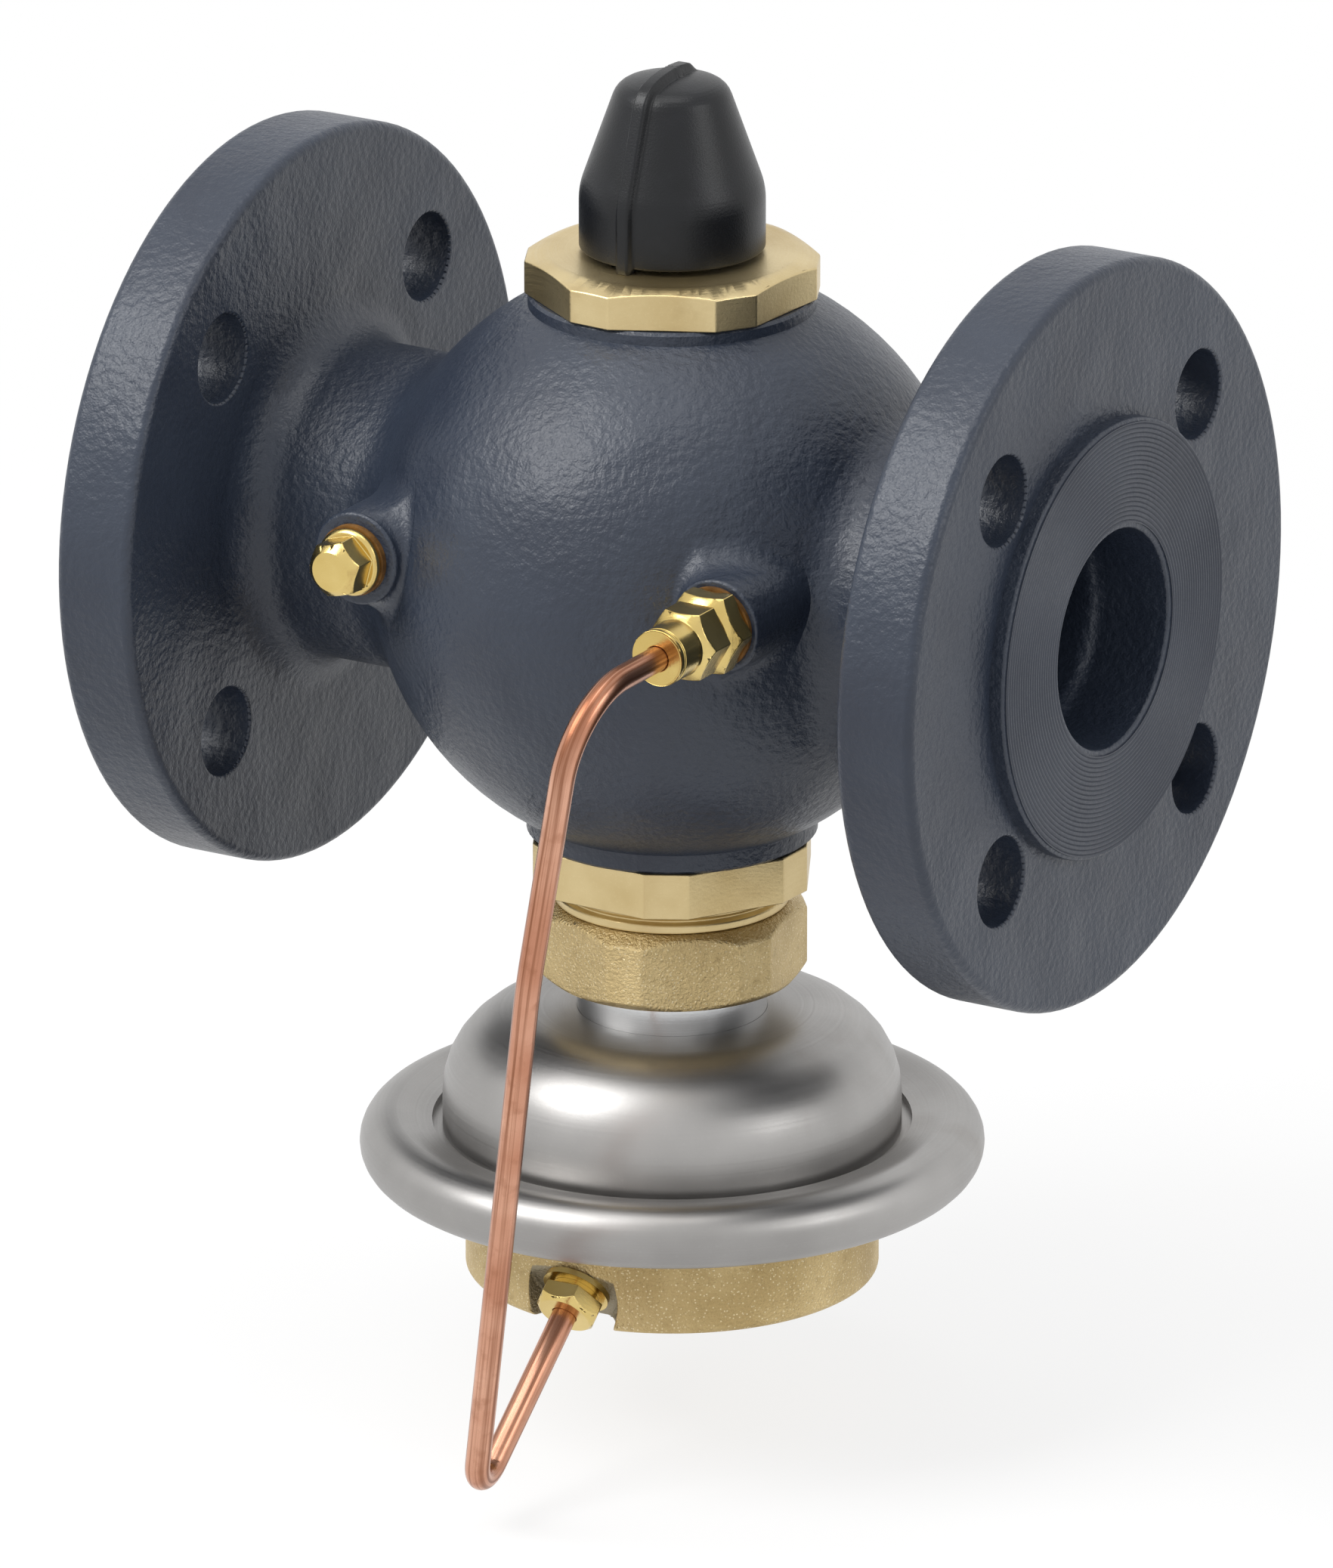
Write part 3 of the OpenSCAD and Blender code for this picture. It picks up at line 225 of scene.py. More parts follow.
def roundedCopy(name, node, bodyName, material, width, tool=machined, chosen=None):
    # crisp edges broken by the width, either all of them or those whose two ends the chosen test picks
    piece = mergedCopy(name, node)
    mesh, angle = piece.data, math.radians(tool["angle"])
    edge = piece.modifiers.new("edgeBreak", "BEVEL")
    edge.width, edge.segments, edge.limit_method = width, tool["segments"], "ANGLE"
    edge.angle_limit, edge.use_clamp_overlap, edge.miter_outer = angle, False, "MITER_ARC"
    if chosen:
        edge.limit_method = "WEIGHT"
        ends, points = np.empty(len(mesh.edges) * 2, np.int32), np.empty(len(mesh.vertices) * 3, np.float32)
        mesh.edges.foreach_get("vertices", ends)
        mesh.vertices.foreach_get("co", points)
        pairs = points.reshape(-1, 3)[ends.reshape(-1, 2)]
        picked = (chosen(pairs[:, 0]) & chosen(pairs[:, 1])).astype(np.float32)
        mesh.attributes.new("bevel_weight_edge", "FLOAT", "EDGE").data.foreach_set("value", picked)
        sharp = np.empty(len(mesh.edges), bool)
        mesh.set_sharp_from_angle(angle=angle)
        mesh.attributes["sharp_edge"].data.foreach_get("value", sharp)
        mesh.attributes["sharp_edge"].data.foreach_set("value", sharp & (picked < 0.5))  # a rounded edge isn't sharp
    flat = piece.modifiers.new("flatFaces", "WEIGHTED_NORMAL")  # wide faces stay flat beside a rounded edge
    flat.keep_sharp, flat.weight = True, tool["normalWeight"]
    finishPiece(piece, bodyName, material, [node])


def putNode(tree, kind, inputs=None, **settings):
    # a node with its settings; an input is either linked from a socket or set to a plain value
    node = tree.nodes.new(kind)
    for key, value in settings.items():
        setattr(node, key, value)
    for key, value in (inputs or {}).items():
        if isinstance(value, bpy.types.NodeSocket):
            tree.links.new(value, node.inputs[key])
        else:
            node.inputs[key].default_value = value
    return node


def newGroup(name, ins, outs):
    # a shared effect: inputs are (name, value), where None stands for coordinates, and outputs are names
    tree = bpy.data.node_groups.new(name, "ShaderNodeTree")
    for label, value in ins:
        kind = "NodeSocketVector" if value is None else "NodeSocketFloat"
        socket = tree.interface.new_socket(label, in_out="INPUT", socket_type=kind)
        if value is not None:
            socket.default_value = value
    for label in outs:
        tree.interface.new_socket(label, in_out="OUTPUT", socket_type="NodeSocketFloat")
    return tree, tree.nodes.new("NodeGroupInput").outputs, tree.nodes.new("NodeGroupOutput").inputs


def math2(tree, operation, a, b=0.0):
    return putNode(tree, "ShaderNodeMath", {0: a, 1: b}, operation=operation).outputs[0]


def remap(tree, value, low, high, toLow=0.0, toHigh=1.0):
    return putNode(tree, "ShaderNodeMapRange", {"Value": value, "From Min": low, "From Max": high,
                                                "To Min": toLow, "To Max": toHigh}).outputs["Result"]


def aroundAxis(tree, vector):
    # distance from the Z axis of these coordinates, and the height along it
    part = putNode(tree, "ShaderNodeSeparateXYZ", {"Vector": vector}).outputs
    squares = [math2(tree, "MULTIPLY", part[side], part[side]) for side in ("X", "Y")]
    return math2(tree, "SQRT", math2(tree, "ADD", *squares)), part["Z"]


midBand = (0.3, 0.7)  # the levels between which most of a noise lies
lathe = {"wanderScale": 60.0, "faintest": 0.55}  # where turned rings fade, and how far


def buildPatches():
    # cloudy mask: noise cut between two levels
    tree, i, o = newGroup("patches", [("Vector", None), ("Scale", 100.0), ("Low", 0.4), ("High", 0.6)], ["Mask"])
    noise = putNode(tree, "ShaderNodeTexNoise", {"Vector": i["Vector"], "Scale": i["Scale"], "Detail": 4.0})
    tree.links.new(remap(tree, noise.outputs["Fac"], i["Low"], i["High"]), o["Mask"])
    return tree


def buildCastSkin():
    # cast or grained surface: wide soft dimples plus a share of fine grit
    tree, i, o = newGroup("castSkin", [("Vector", None), ("Dimples", 400.0), ("Grit", 1600.0), ("GritShare", 0.3)],
                          ["Height", "Fine"])
    wide = putNode(tree, "ShaderNodeTexNoise", {"Vector": i["Vector"], "Scale": i["Dimples"], "Detail": 2.0,
                                                "Roughness": 0.45})
    fine = putNode(tree, "ShaderNodeTexNoise", {"Vector": i["Vector"], "Scale": i["Grit"], "Detail": 3.0})
    grit = math2(tree, "MULTIPLY", fine.outputs["Fac"], i["GritShare"])
    tree.links.new(math2(tree, "ADD", wide.outputs["Fac"], grit), o["Height"])
    tree.links.new(fine.outputs["Fac"], o["Fine"])
    return tree


def buildTurnedMarks():
    # rings left by a lathe: noise that runs only along radius plus height, fainter in wandering places
    tree, i, o = newGroup("turnedMarks", [("Vector", None), ("Rings", 3000.0)], ["Mask"])
    radius, height = aroundAxis(tree, i["Vector"])
    way = math2(tree, "MULTIPLY", math2(tree, "ADD", radius, height), i["Rings"])
    rings = putNode(tree, "ShaderNodeTexNoise", {"W": way, "Scale": 1.0, "Detail": 3.0}, noise_dimensions="1D")
    wander = putNode(tree, "ShaderNodeTexNoise", {"Vector": i["Vector"], "Scale": lathe["wanderScale"],
                                                  "Detail": 1.0})
    strength = remap(tree, wander.outputs["Fac"], *midBand, lathe["faintest"], 1.0)
    tree.links.new(math2(tree, "MULTIPLY", rings.outputs["Fac"], strength), o["Mask"])
    return tree


def buildFlecks():
    # small sharp spots: thin worn chips in the enamel, and on metal bright specks that are painted glints
    tree, i, o = newGroup("flecks", [("Vector", None), ("Scale", 900.0), ("Size", 0.25)], ["Mask"])
    cells = putNode(tree, "ShaderNodeTexVoronoi", {"Vector": i["Vector"], "Scale": i["Scale"], "Randomness": 1.0})
    tree.links.new(remap(tree, cells.outputs["Distance"], i["Size"], 0.0), o["Mask"])
    return tree


shared = {"patches": buildPatches(), "castSkin": buildCastSkin(), "turnedMarks": buildTurnedMarks(),
          "flecks": buildFlecks()}


def effect(tree, name, inputs):
    return putNode(tree, "ShaderNodeGroup", inputs, node_tree=shared[name]).outputs


def patches(tree, at, scale, band):
    return effect(tree, "patches", {"Vector": at, "Scale": scale, "Low": band[0], "High": band[1]})["Mask"]


def blendColours(tree, factor, first, second):
    # inputs 6 and 7 and output 2 of a Mix node are its colours
    return putNode(tree, "ShaderNodeMix", {"Factor": factor, 6: first, 7: second}, data_type="RGBA").outputs[2]


def bump(tree, height, distance, under=None):
    # the distance is the relief in metres that a full step of the height makes, on top of the relief underneath
    inputs = {"Height": height, "Distance": distance, "Strength": 1.0}
    if under is not None:
        inputs["Normal"] = under
    return putNode(tree, "ShaderNodeBump", inputs).outputs["Normal"]


def startMaterial(name, plain):
    # a material with its Principled shader set from plain numbers, and Object coordinates
    material = bpy.data.materials.new(name)
    material.use_nodes = True
    tree = material.node_tree
    shader = tree.nodes["Principled BSDF"]
    for key, value in plain.items():
        shader.inputs[key].default_value = value
    return material, tree, shader.inputs, tree.nodes.new("ShaderNodeTexCoord").outputs["Object"]


def centred(tree, vector, centre, turn=(0, 0, 0)):
    # coordinates measured from a centre, then turned
    moved = putNode(tree, "ShaderNodeMapping", {"Vector": vector, "Location": [-c for c in centre]})
    return putNode(tree, "ShaderNodeMapping", {"Vector": moved.outputs[0], "Rotation": turn}).outputs[0]


def rgb(*screen):
    # screen colour 0-255 to the linear values that Blender reads
    linear = [v / 255 / 12.92 if v <= 10 else ((v / 255 + 0.055) / 1.055) ** 2.4 for v in screen]
    return (*linear, 1.0)


def makePaint(name, p):
    # body enamel over cast iron: peel and grit in the normal, thin worn spots, slow change of tone
    material, tree, shader, at = startMaterial(name, {"Roughness": p["roughness"], "Specular IOR Level": p["gloss"]})
    colour = blendColours(tree, patches(tree, at, p["toneScale"], midBand), p["deep"], p["light"])
    skin = effect(tree, "castSkin", {"Vector": at, "Dimples": p["dimples"], "Grit": p["grit"],
                                     "GritShare": p["gritShare"]})
    specks = effect(tree, "flecks", {"Vector": at, "Scale": p["fleckScale"], "Size": p["fleckSize"]})["Mask"]
    rare = patches(tree, at, p["rareScale"], p["rareBand"])
    chip = math2(tree, "MULTIPLY", math2(tree, "MULTIPLY", specks, rare), p["fleckAmount"])
    tree.links.new(blendColours(tree, chip, colour, p["worn"]), shader["Base Color"])
    tree.links.new(remap(tree, skin["Fine"], *midBand, p["roughness"] - p["smoother"], p["roughness"] + p["rougher"]),
                   shader["Roughness"])
    wave = putNode(tree, "ShaderNodeTexNoise", {"Vector": at, "Scale": p["waveScale"], "Detail": 1.0}).outputs["Fac"]
    peel = bump(tree, wave, p["waveHeight"])
    tree.links.new(bump(tree, skin["Height"], p["skinHeight"], peel), shader["Normal"])
    return material


enamel = {
    "roughness": 0.36, "smoother": 0.06, "rougher": 0.1, "gloss": 0.5,
    "deep": rgb(37, 44, 58), "light": rgb(49, 57, 71), "worn": rgb(96, 100, 104), "toneScale": 34.0,
    "dimples": 640.0, "grit": 2300.0, "gritShare": 0.3, "skinHeight": 0.3 * mm,
    "fleckScale": 900.0, "fleckSize": 0.16, "fleckAmount": 0.3, "rareScale": 180.0, "rareBand": (0.55, 0.7),
    "waveScale": 60.0, "waveHeight": 1.0 * mm,
}
bodyPaint = makePaint("bodyEnamel", enamel)
facePaint = makePaint("facingEnamel", dict(enamel, roughness=0.4, deep=rgb(39, 45, 58), light=rgb(58, 64, 76),
                                           waveHeight=0.1 * mm, skinHeight=0.06 * mm, fleckAmount=0.6))

metalSkin = {  # what every metal shares: where its masks begin and end, and how grit and spots follow the grain
    "toneBand": (0.32, 0.68), "stainWidth": 0.16, "gritScale": 3, "gritShare": 0.5, "spotScale": 0.8, "spotSize": 0.3,
    "ringBand": (0.2, 0.7),
}


def makeMetal(name, p, s=metalSkin):
    # machined or cast metal: tone patches, tarnish, painted glints as specks, lathe rings and grain in roughness and
    # normal
    material, tree, shader, at = startMaterial(name, {"Metallic": 1.0, "Roughness": p["roughness"]})
    spun = centred(tree, at, p.get("centre", stemAxis), p.get("turn", (0, 0, 0)))
    colour = blendColours(tree, patches(tree, at, p["toneScale"], s["toneBand"]), p["deep"], p["light"])
    stain = patches(tree, at, p["stainScale"], (p["stainFrom"], p["stainFrom"] + s["stainWidth"]))
    colour = blendColours(tree, math2(tree, "MULTIPLY", stain, p["stainAmount"]), colour, p["stain"])
    grain = effect(tree, "castSkin", {"Vector": at, "Dimples": p["grainScale"],
                                      "Grit": p["grainScale"] * s["gritScale"], "GritShare": s["gritShare"]})
    # bright specks blended into the colour: painted glints of the metal's grain
    glintSpots = effect(tree, "flecks", {"Vector": at, "Scale": p["grainScale"] * s["spotScale"],
                                    "Size": s["spotSize"]})["Mask"]
    colour = blendColours(tree, math2(tree, "MULTIPLY", glintSpots, p["fleckAmount"]), colour, p["fleck"])
    rings = effect(tree, "turnedMarks", {"Vector": spun, "Rings": p["rings"]})["Mask"]
    if "pocket" in p:  # a milled pocket: within a radius of the tap's axis a darker grey-brown shows, bare brass with painted shade
        away, depth = aroundAxis(tree, centred(tree, at, p["pocket"], p["pocketTurn"]))
        milledShade = math2(tree, "MULTIPLY", remap(tree, away, p["pocketRadius"] + p["pocketEdge"], p["pocketRadius"]),
                       remap(tree, depth, -2 * p["pocketFloor"], -p["pocketFloor"]))
        colour = blendColours(tree, milledShade, colour, p["milledShade"])
    tree.links.new(colour, shader["Base Color"])
    fine = remap(tree, grain["Fine"], *midBand, p["roughness"] - p["grainRough"], p["roughness"] + p["grainRough"])
    turned = remap(tree, rings, *s["ringBand"], -p["ringRough"], p["ringRough"])
    tree.links.new(math2(tree, "ADD", turned, fine), shader["Roughness"])
    low = bump(tree, rings, p["ringHeight"])
    tree.links.new(bump(tree, grain["Height"], p["grainHeight"], low), shader["Normal"])
    return material


turnedBrass = {
    "roughness": 0.38, "deep": rgb(194, 172, 124), "light": rgb(216, 197, 151), "toneScale": 55.0,
    "stain": rgb(160, 134, 90), "stainScale": 120.0, "stainFrom": 0.58, "stainAmount": 0.25,
    # fleck: lighter specks, painted glints
    "fleck": rgb(236, 222, 180), "fleckAmount": 0.12,
    "grainScale": 1600.0, "grainRough": 0.06, "grainHeight": 0.03 * mm,
    "rings": 2600.0, "ringRough": 0.05, "ringHeight": 0.012 * mm,
}
bonnetBrass = makeMetal("bonnetBrass", turnedBrass)
lowTapAt = stemAxis + lowTapPoint
# These turn a pattern's Z axis to the lower tap's own, and to that of the two taps in the front
alongLowTap, alongFrontTap = (-math.radians(90 + lowTap["tilt"]), 0, 0), (math.radians(90), 0, 0)
brightBrass = dict(turnedBrass, roughness=0.2, deep=rgb(198, 170, 98), light=rgb(222, 198, 130), stainAmount=0.2,
                   grainHeight=0.01 * mm, rings=5200.0, ringHeight=0.02 * mm, fleckAmount=0.06)
fittingBrass = {
    side: makeMetal(side + "Brass", dict(brightBrass, centre=centre, turn=turn)) for side, centre, turn in (
        ("plug", stemAxis + [-body["tapOffset"], 0, body["tapHeight"]], alongFrontTap),
        ("upper", stemAxis + [body["tapOffset"], 0, body["tapHeight"]], alongFrontTap),
        ("lower", lowTapAt, alongLowTap))}
castBrass = makeMetal("castBrass", dict(
    turnedBrass, roughness=0.46, deep=rgb(180, 157, 110), light=rgb(210, 188, 140),
    # fleck: dense near-white specks, painted glints of the sand-cast grain
    stain=rgb(142, 116, 72), stainAmount=0.3, stainScale=420.0, fleck=rgb(248, 236, 200), fleckAmount=0.9,
    grainScale=1700.0, grainHeight=0.36 * mm, grainRough=0.1, ringHeight=0.0,
    # the pocket's colour: bare milled brass, darker grey-brown as painted shade of the recess
    pocket=lowTapAt, pocketTurn=alongLowTap, pocketRadius=lowTap["pocket"], pocketEdge=0.15 * mm,
    pocketFloor=0.2 * mm, milledShade=rgb(148, 138, 116)))
bronze = makeMetal("bushBronze", dict(turnedBrass, deep=rgb(160, 116, 70), light=rgb(184, 138, 88), roughness=0.4))
spunSteel = makeMetal("spunSteel", {
    "roughness": 0.41, "deep": rgb(150, 148, 146), "light": rgb(174, 172, 170), "toneScale": 22.0,
    "stain": rgb(112, 100, 88), "stainScale": 26.0, "stainFrom": 0.6, "stainAmount": 0.35,
    # fleck: lighter specks, painted glints
    "fleck": rgb(200, 200, 200), "fleckAmount": 0.06,
    "grainScale": 900.0, "grainRough": 0.03, "grainHeight": 0.005 * mm,
    "rings": 2200.0, "ringRough": 0.05, "ringHeight": 0.009 * mm,
})
turnedSteel = makeMetal("turnedSteel", {
    "roughness": 0.2, "deep": rgb(206, 207, 208), "light": rgb(226, 227, 228), "toneScale": 40.0,
    "stain": rgb(130, 132, 136), "stainScale": 90.0, "stainFrom": 0.6, "stainAmount": 0.3,
    # fleck: lighter specks, painted glints
    "fleck": rgb(235, 235, 235), "fleckAmount": 0.05,
    "grainScale": 1200.0, "grainRough": 0.03, "grainHeight": 0.006 * mm,
    "rings": 3600.0, "ringRough": 0.04, "ringHeight": 0.012 * mm,
})
springSteel = makeMetal("springSteel", {
    "roughness": 0.36, "deep": rgb(120, 122, 126), "light": rgb(150, 152, 156), "toneScale": 60.0,
    "stain": rgb(88, 76, 66), "stainScale": 160.0, "stainFrom": 0.58, "stainAmount": 0.4,
    # fleck: lighter specks, painted glints
    "fleck": rgb(190, 190, 190), "fleckAmount": 0.08,
    "grainScale": 1400.0, "grainRough": 0.05, "grainHeight": 0.01 * mm,
    "rings": 900.0, "ringRough": 0.03, "ringHeight": 0.01 * mm,
})

softSkin = {  # what plastic, rubber and fibre share
    "toneBand": (0.35, 0.65), "rubBand": (0.58, 0.74), "gritScale": 3, "gritShare": 0.4, "smoother": 0.05,
    "rougher": 0.07,
}


def makeSoft(name, p, s=softSkin):
    # plastic, rubber or fibre: two tones, fine grain, rubbed patches
    material, tree, shader, at = startMaterial(name, {"Roughness": p["roughness"], "Specular IOR Level": p["gloss"]})
    colour = blendColours(tree, patches(tree, at, p["toneScale"], s["toneBand"]), p["deep"], p["light"])
    rubbed = math2(tree, "MULTIPLY", patches(tree, at, p["rubScale"], s["rubBand"]), p["rubAmount"])
    tree.links.new(blendColours(tree, rubbed, colour, p["rub"]), shader["Base Color"])
    grain = effect(tree, "castSkin", {"Vector": at, "Dimples": p["grainScale"],
                                      "Grit": p["grainScale"] * s["gritScale"], "GritShare": s["gritShare"]})
    tree.links.new(remap(tree, grain["Fine"], *midBand, p["roughness"] - s["smoother"], p["roughness"] + s["rougher"]),
                   shader["Roughness"])
    tree.links.new(bump(tree, grain["Height"], p["grainHeight"]), shader["Normal"])
    return material


knobPlastic = makeSoft("knobPlastic", {
    "roughness": 0.34, "gloss": 0.36, "deep": rgb(10, 12, 15), "light": rgb(17, 19, 23), "toneScale": 90.0,
    "rub": rgb(40, 42, 46), "rubScale": 140.0, "rubAmount": 0.2, "grainScale": 2400.0, "grainHeight": 0.035 * mm,
})
sealRubber = makeSoft("sealRubber", {
    "roughness": 0.62, "gloss": 0.3, "deep": rgb(20, 20, 20), "light": rgb(34, 33, 32), "toneScale": 160.0,
    "rub": rgb(66, 62, 58), "rubScale": 260.0, "rubAmount": 0.3, "grainScale": 1500.0, "grainHeight": 0.04 * mm,
})
gasketFibre = makeSoft("gasketFibre", {
    "roughness": 0.6, "gloss": 0.35, "deep": rgb(92, 62, 26), "light": rgb(134, 94, 44), "toneScale": 420.0,
    "rub": rgb(58, 40, 20), "rubScale": 800.0, "rubAmount": 0.6, "grainScale": 2400.0, "grainHeight": 0.08 * mm,
})


def makeCopper(name, p):
    # drawn copper: streaks along the pipe, read from the piece's own "pipeWay" attribute: drawing marks and painted
    # reflections
    material, tree, shader, at = startMaterial(name, {"Metallic": 1.0, "Roughness": p["roughness"]})
    way = putNode(tree, "ShaderNodeAttribute", attribute_name="pipeWay").outputs["Vector"]
    long = putNode(tree, "ShaderNodeMapping", {"Vector": way, "Scale": p["streakScale"]}).outputs[0]
    streakAndReflection = putNode(tree, "ShaderNodeTexNoise", {"Vector": long, "Scale": 1.0, "Detail": 5.0}).outputs["Fac"]
    colour = blendColours(tree, patches(tree, at, p["toneScale"], p["toneBand"]), p["deep"], p["light"])
    # lengthwise dark bands in the colour: drawing marks together with painted dark reflection bands
    colour = blendColours(tree, remap(tree, streakAndReflection, *p["streakBand"], 0.0, p["streakAmount"]), colour, p["streakAndReflection"])
    dull = math2(tree, "MULTIPLY", patches(tree, at, p["dullScale"], p["dullBand"]), p["dullAmount"])
    tree.links.new(blendColours(tree, dull, colour, p["tarnish"]), shader["Base Color"])
    tree.links.new(remap(tree, streakAndReflection, *p["roughBand"], p["roughness"] - p["smoother"], p["roughness"] + p["rougher"]),
                   shader["Roughness"])
    tree.links.new(bump(tree, streakAndReflection, p["streakHeight"]), shader["Normal"])
    return material


pipeCopper = makeCopper("drawnCopper", {
    "roughness": 0.24, "smoother": 0.05, "rougher": 0.15, "roughBand": (0.3, 0.75),
    "deep": rgb(190, 134, 108), "light": rgb(222, 172, 146), "toneScale": 45.0, "toneBand": (0.35, 0.65),
    # the dark streak colour: drawing marks and painted dark reflection bands along the pipe
    "streakAndReflection": rgb(128, 78, 52), "streakScale": (3.2, 3.2, 14.0), "streakBand": (0.46, 0.64), "streakAmount": 0.8,
    "streakHeight": 0.012 * mm,
    "tarnish": rgb(150, 98, 72), "dullScale": 260.0, "dullBand": (0.56, 0.7), "dullAmount": 0.35,
})
print("materials made")

casting = {
    # radii of bolt hole, bolt circle, raised face, port mouth and tap boss; the raised face's step and the flange's
    # back, both from the end; the width that its edges are broken by, and how near a point counts as on an edge
    "hole": 9 * mm, "boltCircle": 55 * mm, "raised": 44 * mm, "mouth": 22 * mm, "step": 3 * mm, "flange": 20 * mm,
    "boss": 9.5 * mm, "broken": 0.7 * mm, "near": 0.02 * mm, "tool": dict(machined, segments=3, angle=30),
}


def rimOfHoleOrBoss(at, c=casting):
    # points on the round edges of bolt holes, raised faces, port mouths and tap bosses
    fromEnd = np.minimum(abs(at[:, 0]), abs(at[:, 0] - body["length"]))
    fromAxis = np.hypot(at[:, 1], at[:, 2])
    bolt = c["boltCircle"] / math.sqrt(2)
    toBolt = np.hypot(abs(at[:, 1]) - bolt, abs(at[:, 2]) - bolt)
    toTap = np.hypot(abs(at[:, 0] - body["stemX"]) - body["tapOffset"], at[:, 2] - body["tapHeight"])

    def close(a, b):
        return abs(a - b) < c["near"]

    return ((close(fromEnd, c["step"]) | close(fromEnd, c["flange"])) & close(toBolt, c["hole"])
            | close(fromEnd, 0) & (close(fromAxis, c["raised"]) | close(fromAxis, c["mouth"]))
            | close(-at[:, 1], body["tapFace"]) & close(toTap, c["boss"]))


roundedCopy("valveCasting", "valve_body", "valve", bodyPaint, casting["broken"], casting["tool"],
            rimOfHoleOrBoss)

bossFillet = {
    # boss radius and face, limits of the rolling ball, how far the fillet reaches into the metal, and its steps
    "radius": casting["boss"], "face": body["tapFace"], "largest": 9 * mm, "smallest": 0.3 * mm, "below": 0.9 * mm,
    "sink": 0.7 * mm, "overlap": 0.04, "halvings": 30, "around": 144, "across": 14, "crease": 60,
}


def fillBossFoot(name, side, p):
    # a ball rolls round the boss and touches both boss and bulb; its size, found by halving, is the largest that
    # stays below the face, and the fillet is the ball's arc between its two touching points
    turn = np.linspace(0, 2 * np.pi, p["around"], endpoint=False)
    out = np.stack([side * np.cos(turn), np.sin(turn)], -1)
    hub = np.array([side * body["tapOffset"], body["tapHeight"]])
    bulb = body["bulbRadius"]

    def ballCentre(ball):
        xz = hub + out * (p["radius"] + ball)[:, None]
        return np.stack([xz[:, 0], -np.sqrt((bulb + ball) ** 2 - (xz ** 2).sum(-1)), xz[:, 1]], -1)

    low, high = np.full(len(turn), p["smallest"]), np.full(len(turn), p["largest"])
    for _ in range(p["halvings"]):
        mid = (low + high) / 2
        fits = -ballCentre(mid)[:, 1] < p["face"] - p["below"]
        low, high = np.where(fits, mid, low), np.where(fits, high, mid)
    ball, centre = low, ballCentre(low)
    wall = centre.copy()
    wall[:, [0, 2]] = hub + out * p["radius"]
    foot = centre * (bulb / (bulb + ball))[:, None]
    a, b = (wall - centre) / ball[:, None], (foot - centre) / ball[:, None]
    span = np.arccos(np.clip((a * b).sum(-1), -1, 1))[:, None, None]
    t = np.linspace(-p["overlap"], 1 + p["overlap"], p["across"])[None, :, None]
    arc = (np.sin((1 - t) * span) * a[:, None] + np.sin(t * span) * b[:, None]) / np.sin(span)
    arc = centre[:, None] + arc * ball[:, None, None]
    inFoot = foot * (1 - 2 * p["sink"] / bulb)
    inWall = wall.copy()
    inWall[:, [0, 2]] = hub + out * (p["radius"] - p["sink"])
    corner = inWall.copy()
    corner[:, 1] = inFoot[:, 1] + p["sink"]
    grid = np.concatenate([arc, inFoot[:, None], corner[:, None], inWall[:, None]], 1) + stemAxis
    piece = surfacePiece(name, grid, p["crease"])
    finishPiece(piece, "valve", bodyPaint)


fillBossFoot("inletBossFillet", -1, bossFillet)
fillBossFoot("outletBossFillet", 1, bossFillet)

facing = {
    # grooves between two radii, their depth below the crests, and the ring's height over and depth under the face
    "inner": 23.2 * mm, "outer": 43.2 * mm, "grooves": 22, "depth": 0.26 * mm, "proud": 0.28 * mm, "sink": 0.6 * mm,
    "around": 240, "perGroove": 6, "crease": 50,
}


def cutFacingGrooves(name, faceX, outward, p):
    # rings of a facing cut: from its crest the height falls by a squared raised cosine once per groove
    count = p["grooves"] * p["perGroove"] + 1
    share = np.linspace(0, 1, count)
    radius = p["inner"] + (p["outer"] - p["inner"]) * share
    height = p["proud"] - p["depth"] * (0.5 - 0.5 * np.cos(2 * np.pi * p["grooves"] * share)) ** 2
    radius = np.concatenate([[p["inner"]], radius, [p["outer"]]])
    height = np.concatenate([[-p["sink"]], height, [-p["sink"]]])
    angle = np.linspace(0, 2 * np.pi, p["around"], endpoint=False)[None]
    grid = np.stack([faceX + outward * height[:, None] + 0 * angle, radius[:, None] * np.cos(angle),
                     radius[:, None] * np.sin(angle)], -1)
    piece = surfacePiece(name, grid, p["crease"])
    finishPiece(piece, "valve", facePaint)


cutFacingGrooves("inletFacing", 0.0, -1, facing)
cutFacingGrooves("outletFacing", body["length"], 1, facing)
print("body dressed")

knob = {
    # shell: the rim's height, then radii, and heights above the rim
    "low": 64.8 * mm, "skirt": 18.4 * mm, "skirtHeight": 12 * mm, "coneTop": 10.9 * mm, "coneHeight": 33.2 * mm,
    "height": 35 * mm, "wall": 2.2 * mm, "hub": 7.4 * mm, "hubGap": 1.6 * mm, "socket": 4.95 * mm,
    "socketHeight": 19.7 * mm, "roof": 3 * mm, "hubRoof": 4 * mm, "rimGap": 0.02 * mm,
    "footRound": 0.5 * mm, "shoulderRound": 2.5 * mm, "crownRound": 2.6 * mm, "crownRise": 0.35 * mm,
    "insideRound": 1 * mm, "lipRound": 0.2 * mm,
    # pointer rib: half width and softness, heights, where it ends at the back, and its foot at the rim
    "ribHalf": 1.5 * mm, "ribSoft": 0.5 * mm, "ribHeight": 1.3 * mm, "finHeight": 1.7 * mm, "finBack": 8 * mm,
    "finTaper": 4 * mm, "ribInset": 0.6, "ribDrop": 0.55 * mm, "dropHeight": 1.5 * mm,
    "around": 360, "spacing": 0.45 * mm, "insideSpacing": 2 * mm, "crease": 50,
}


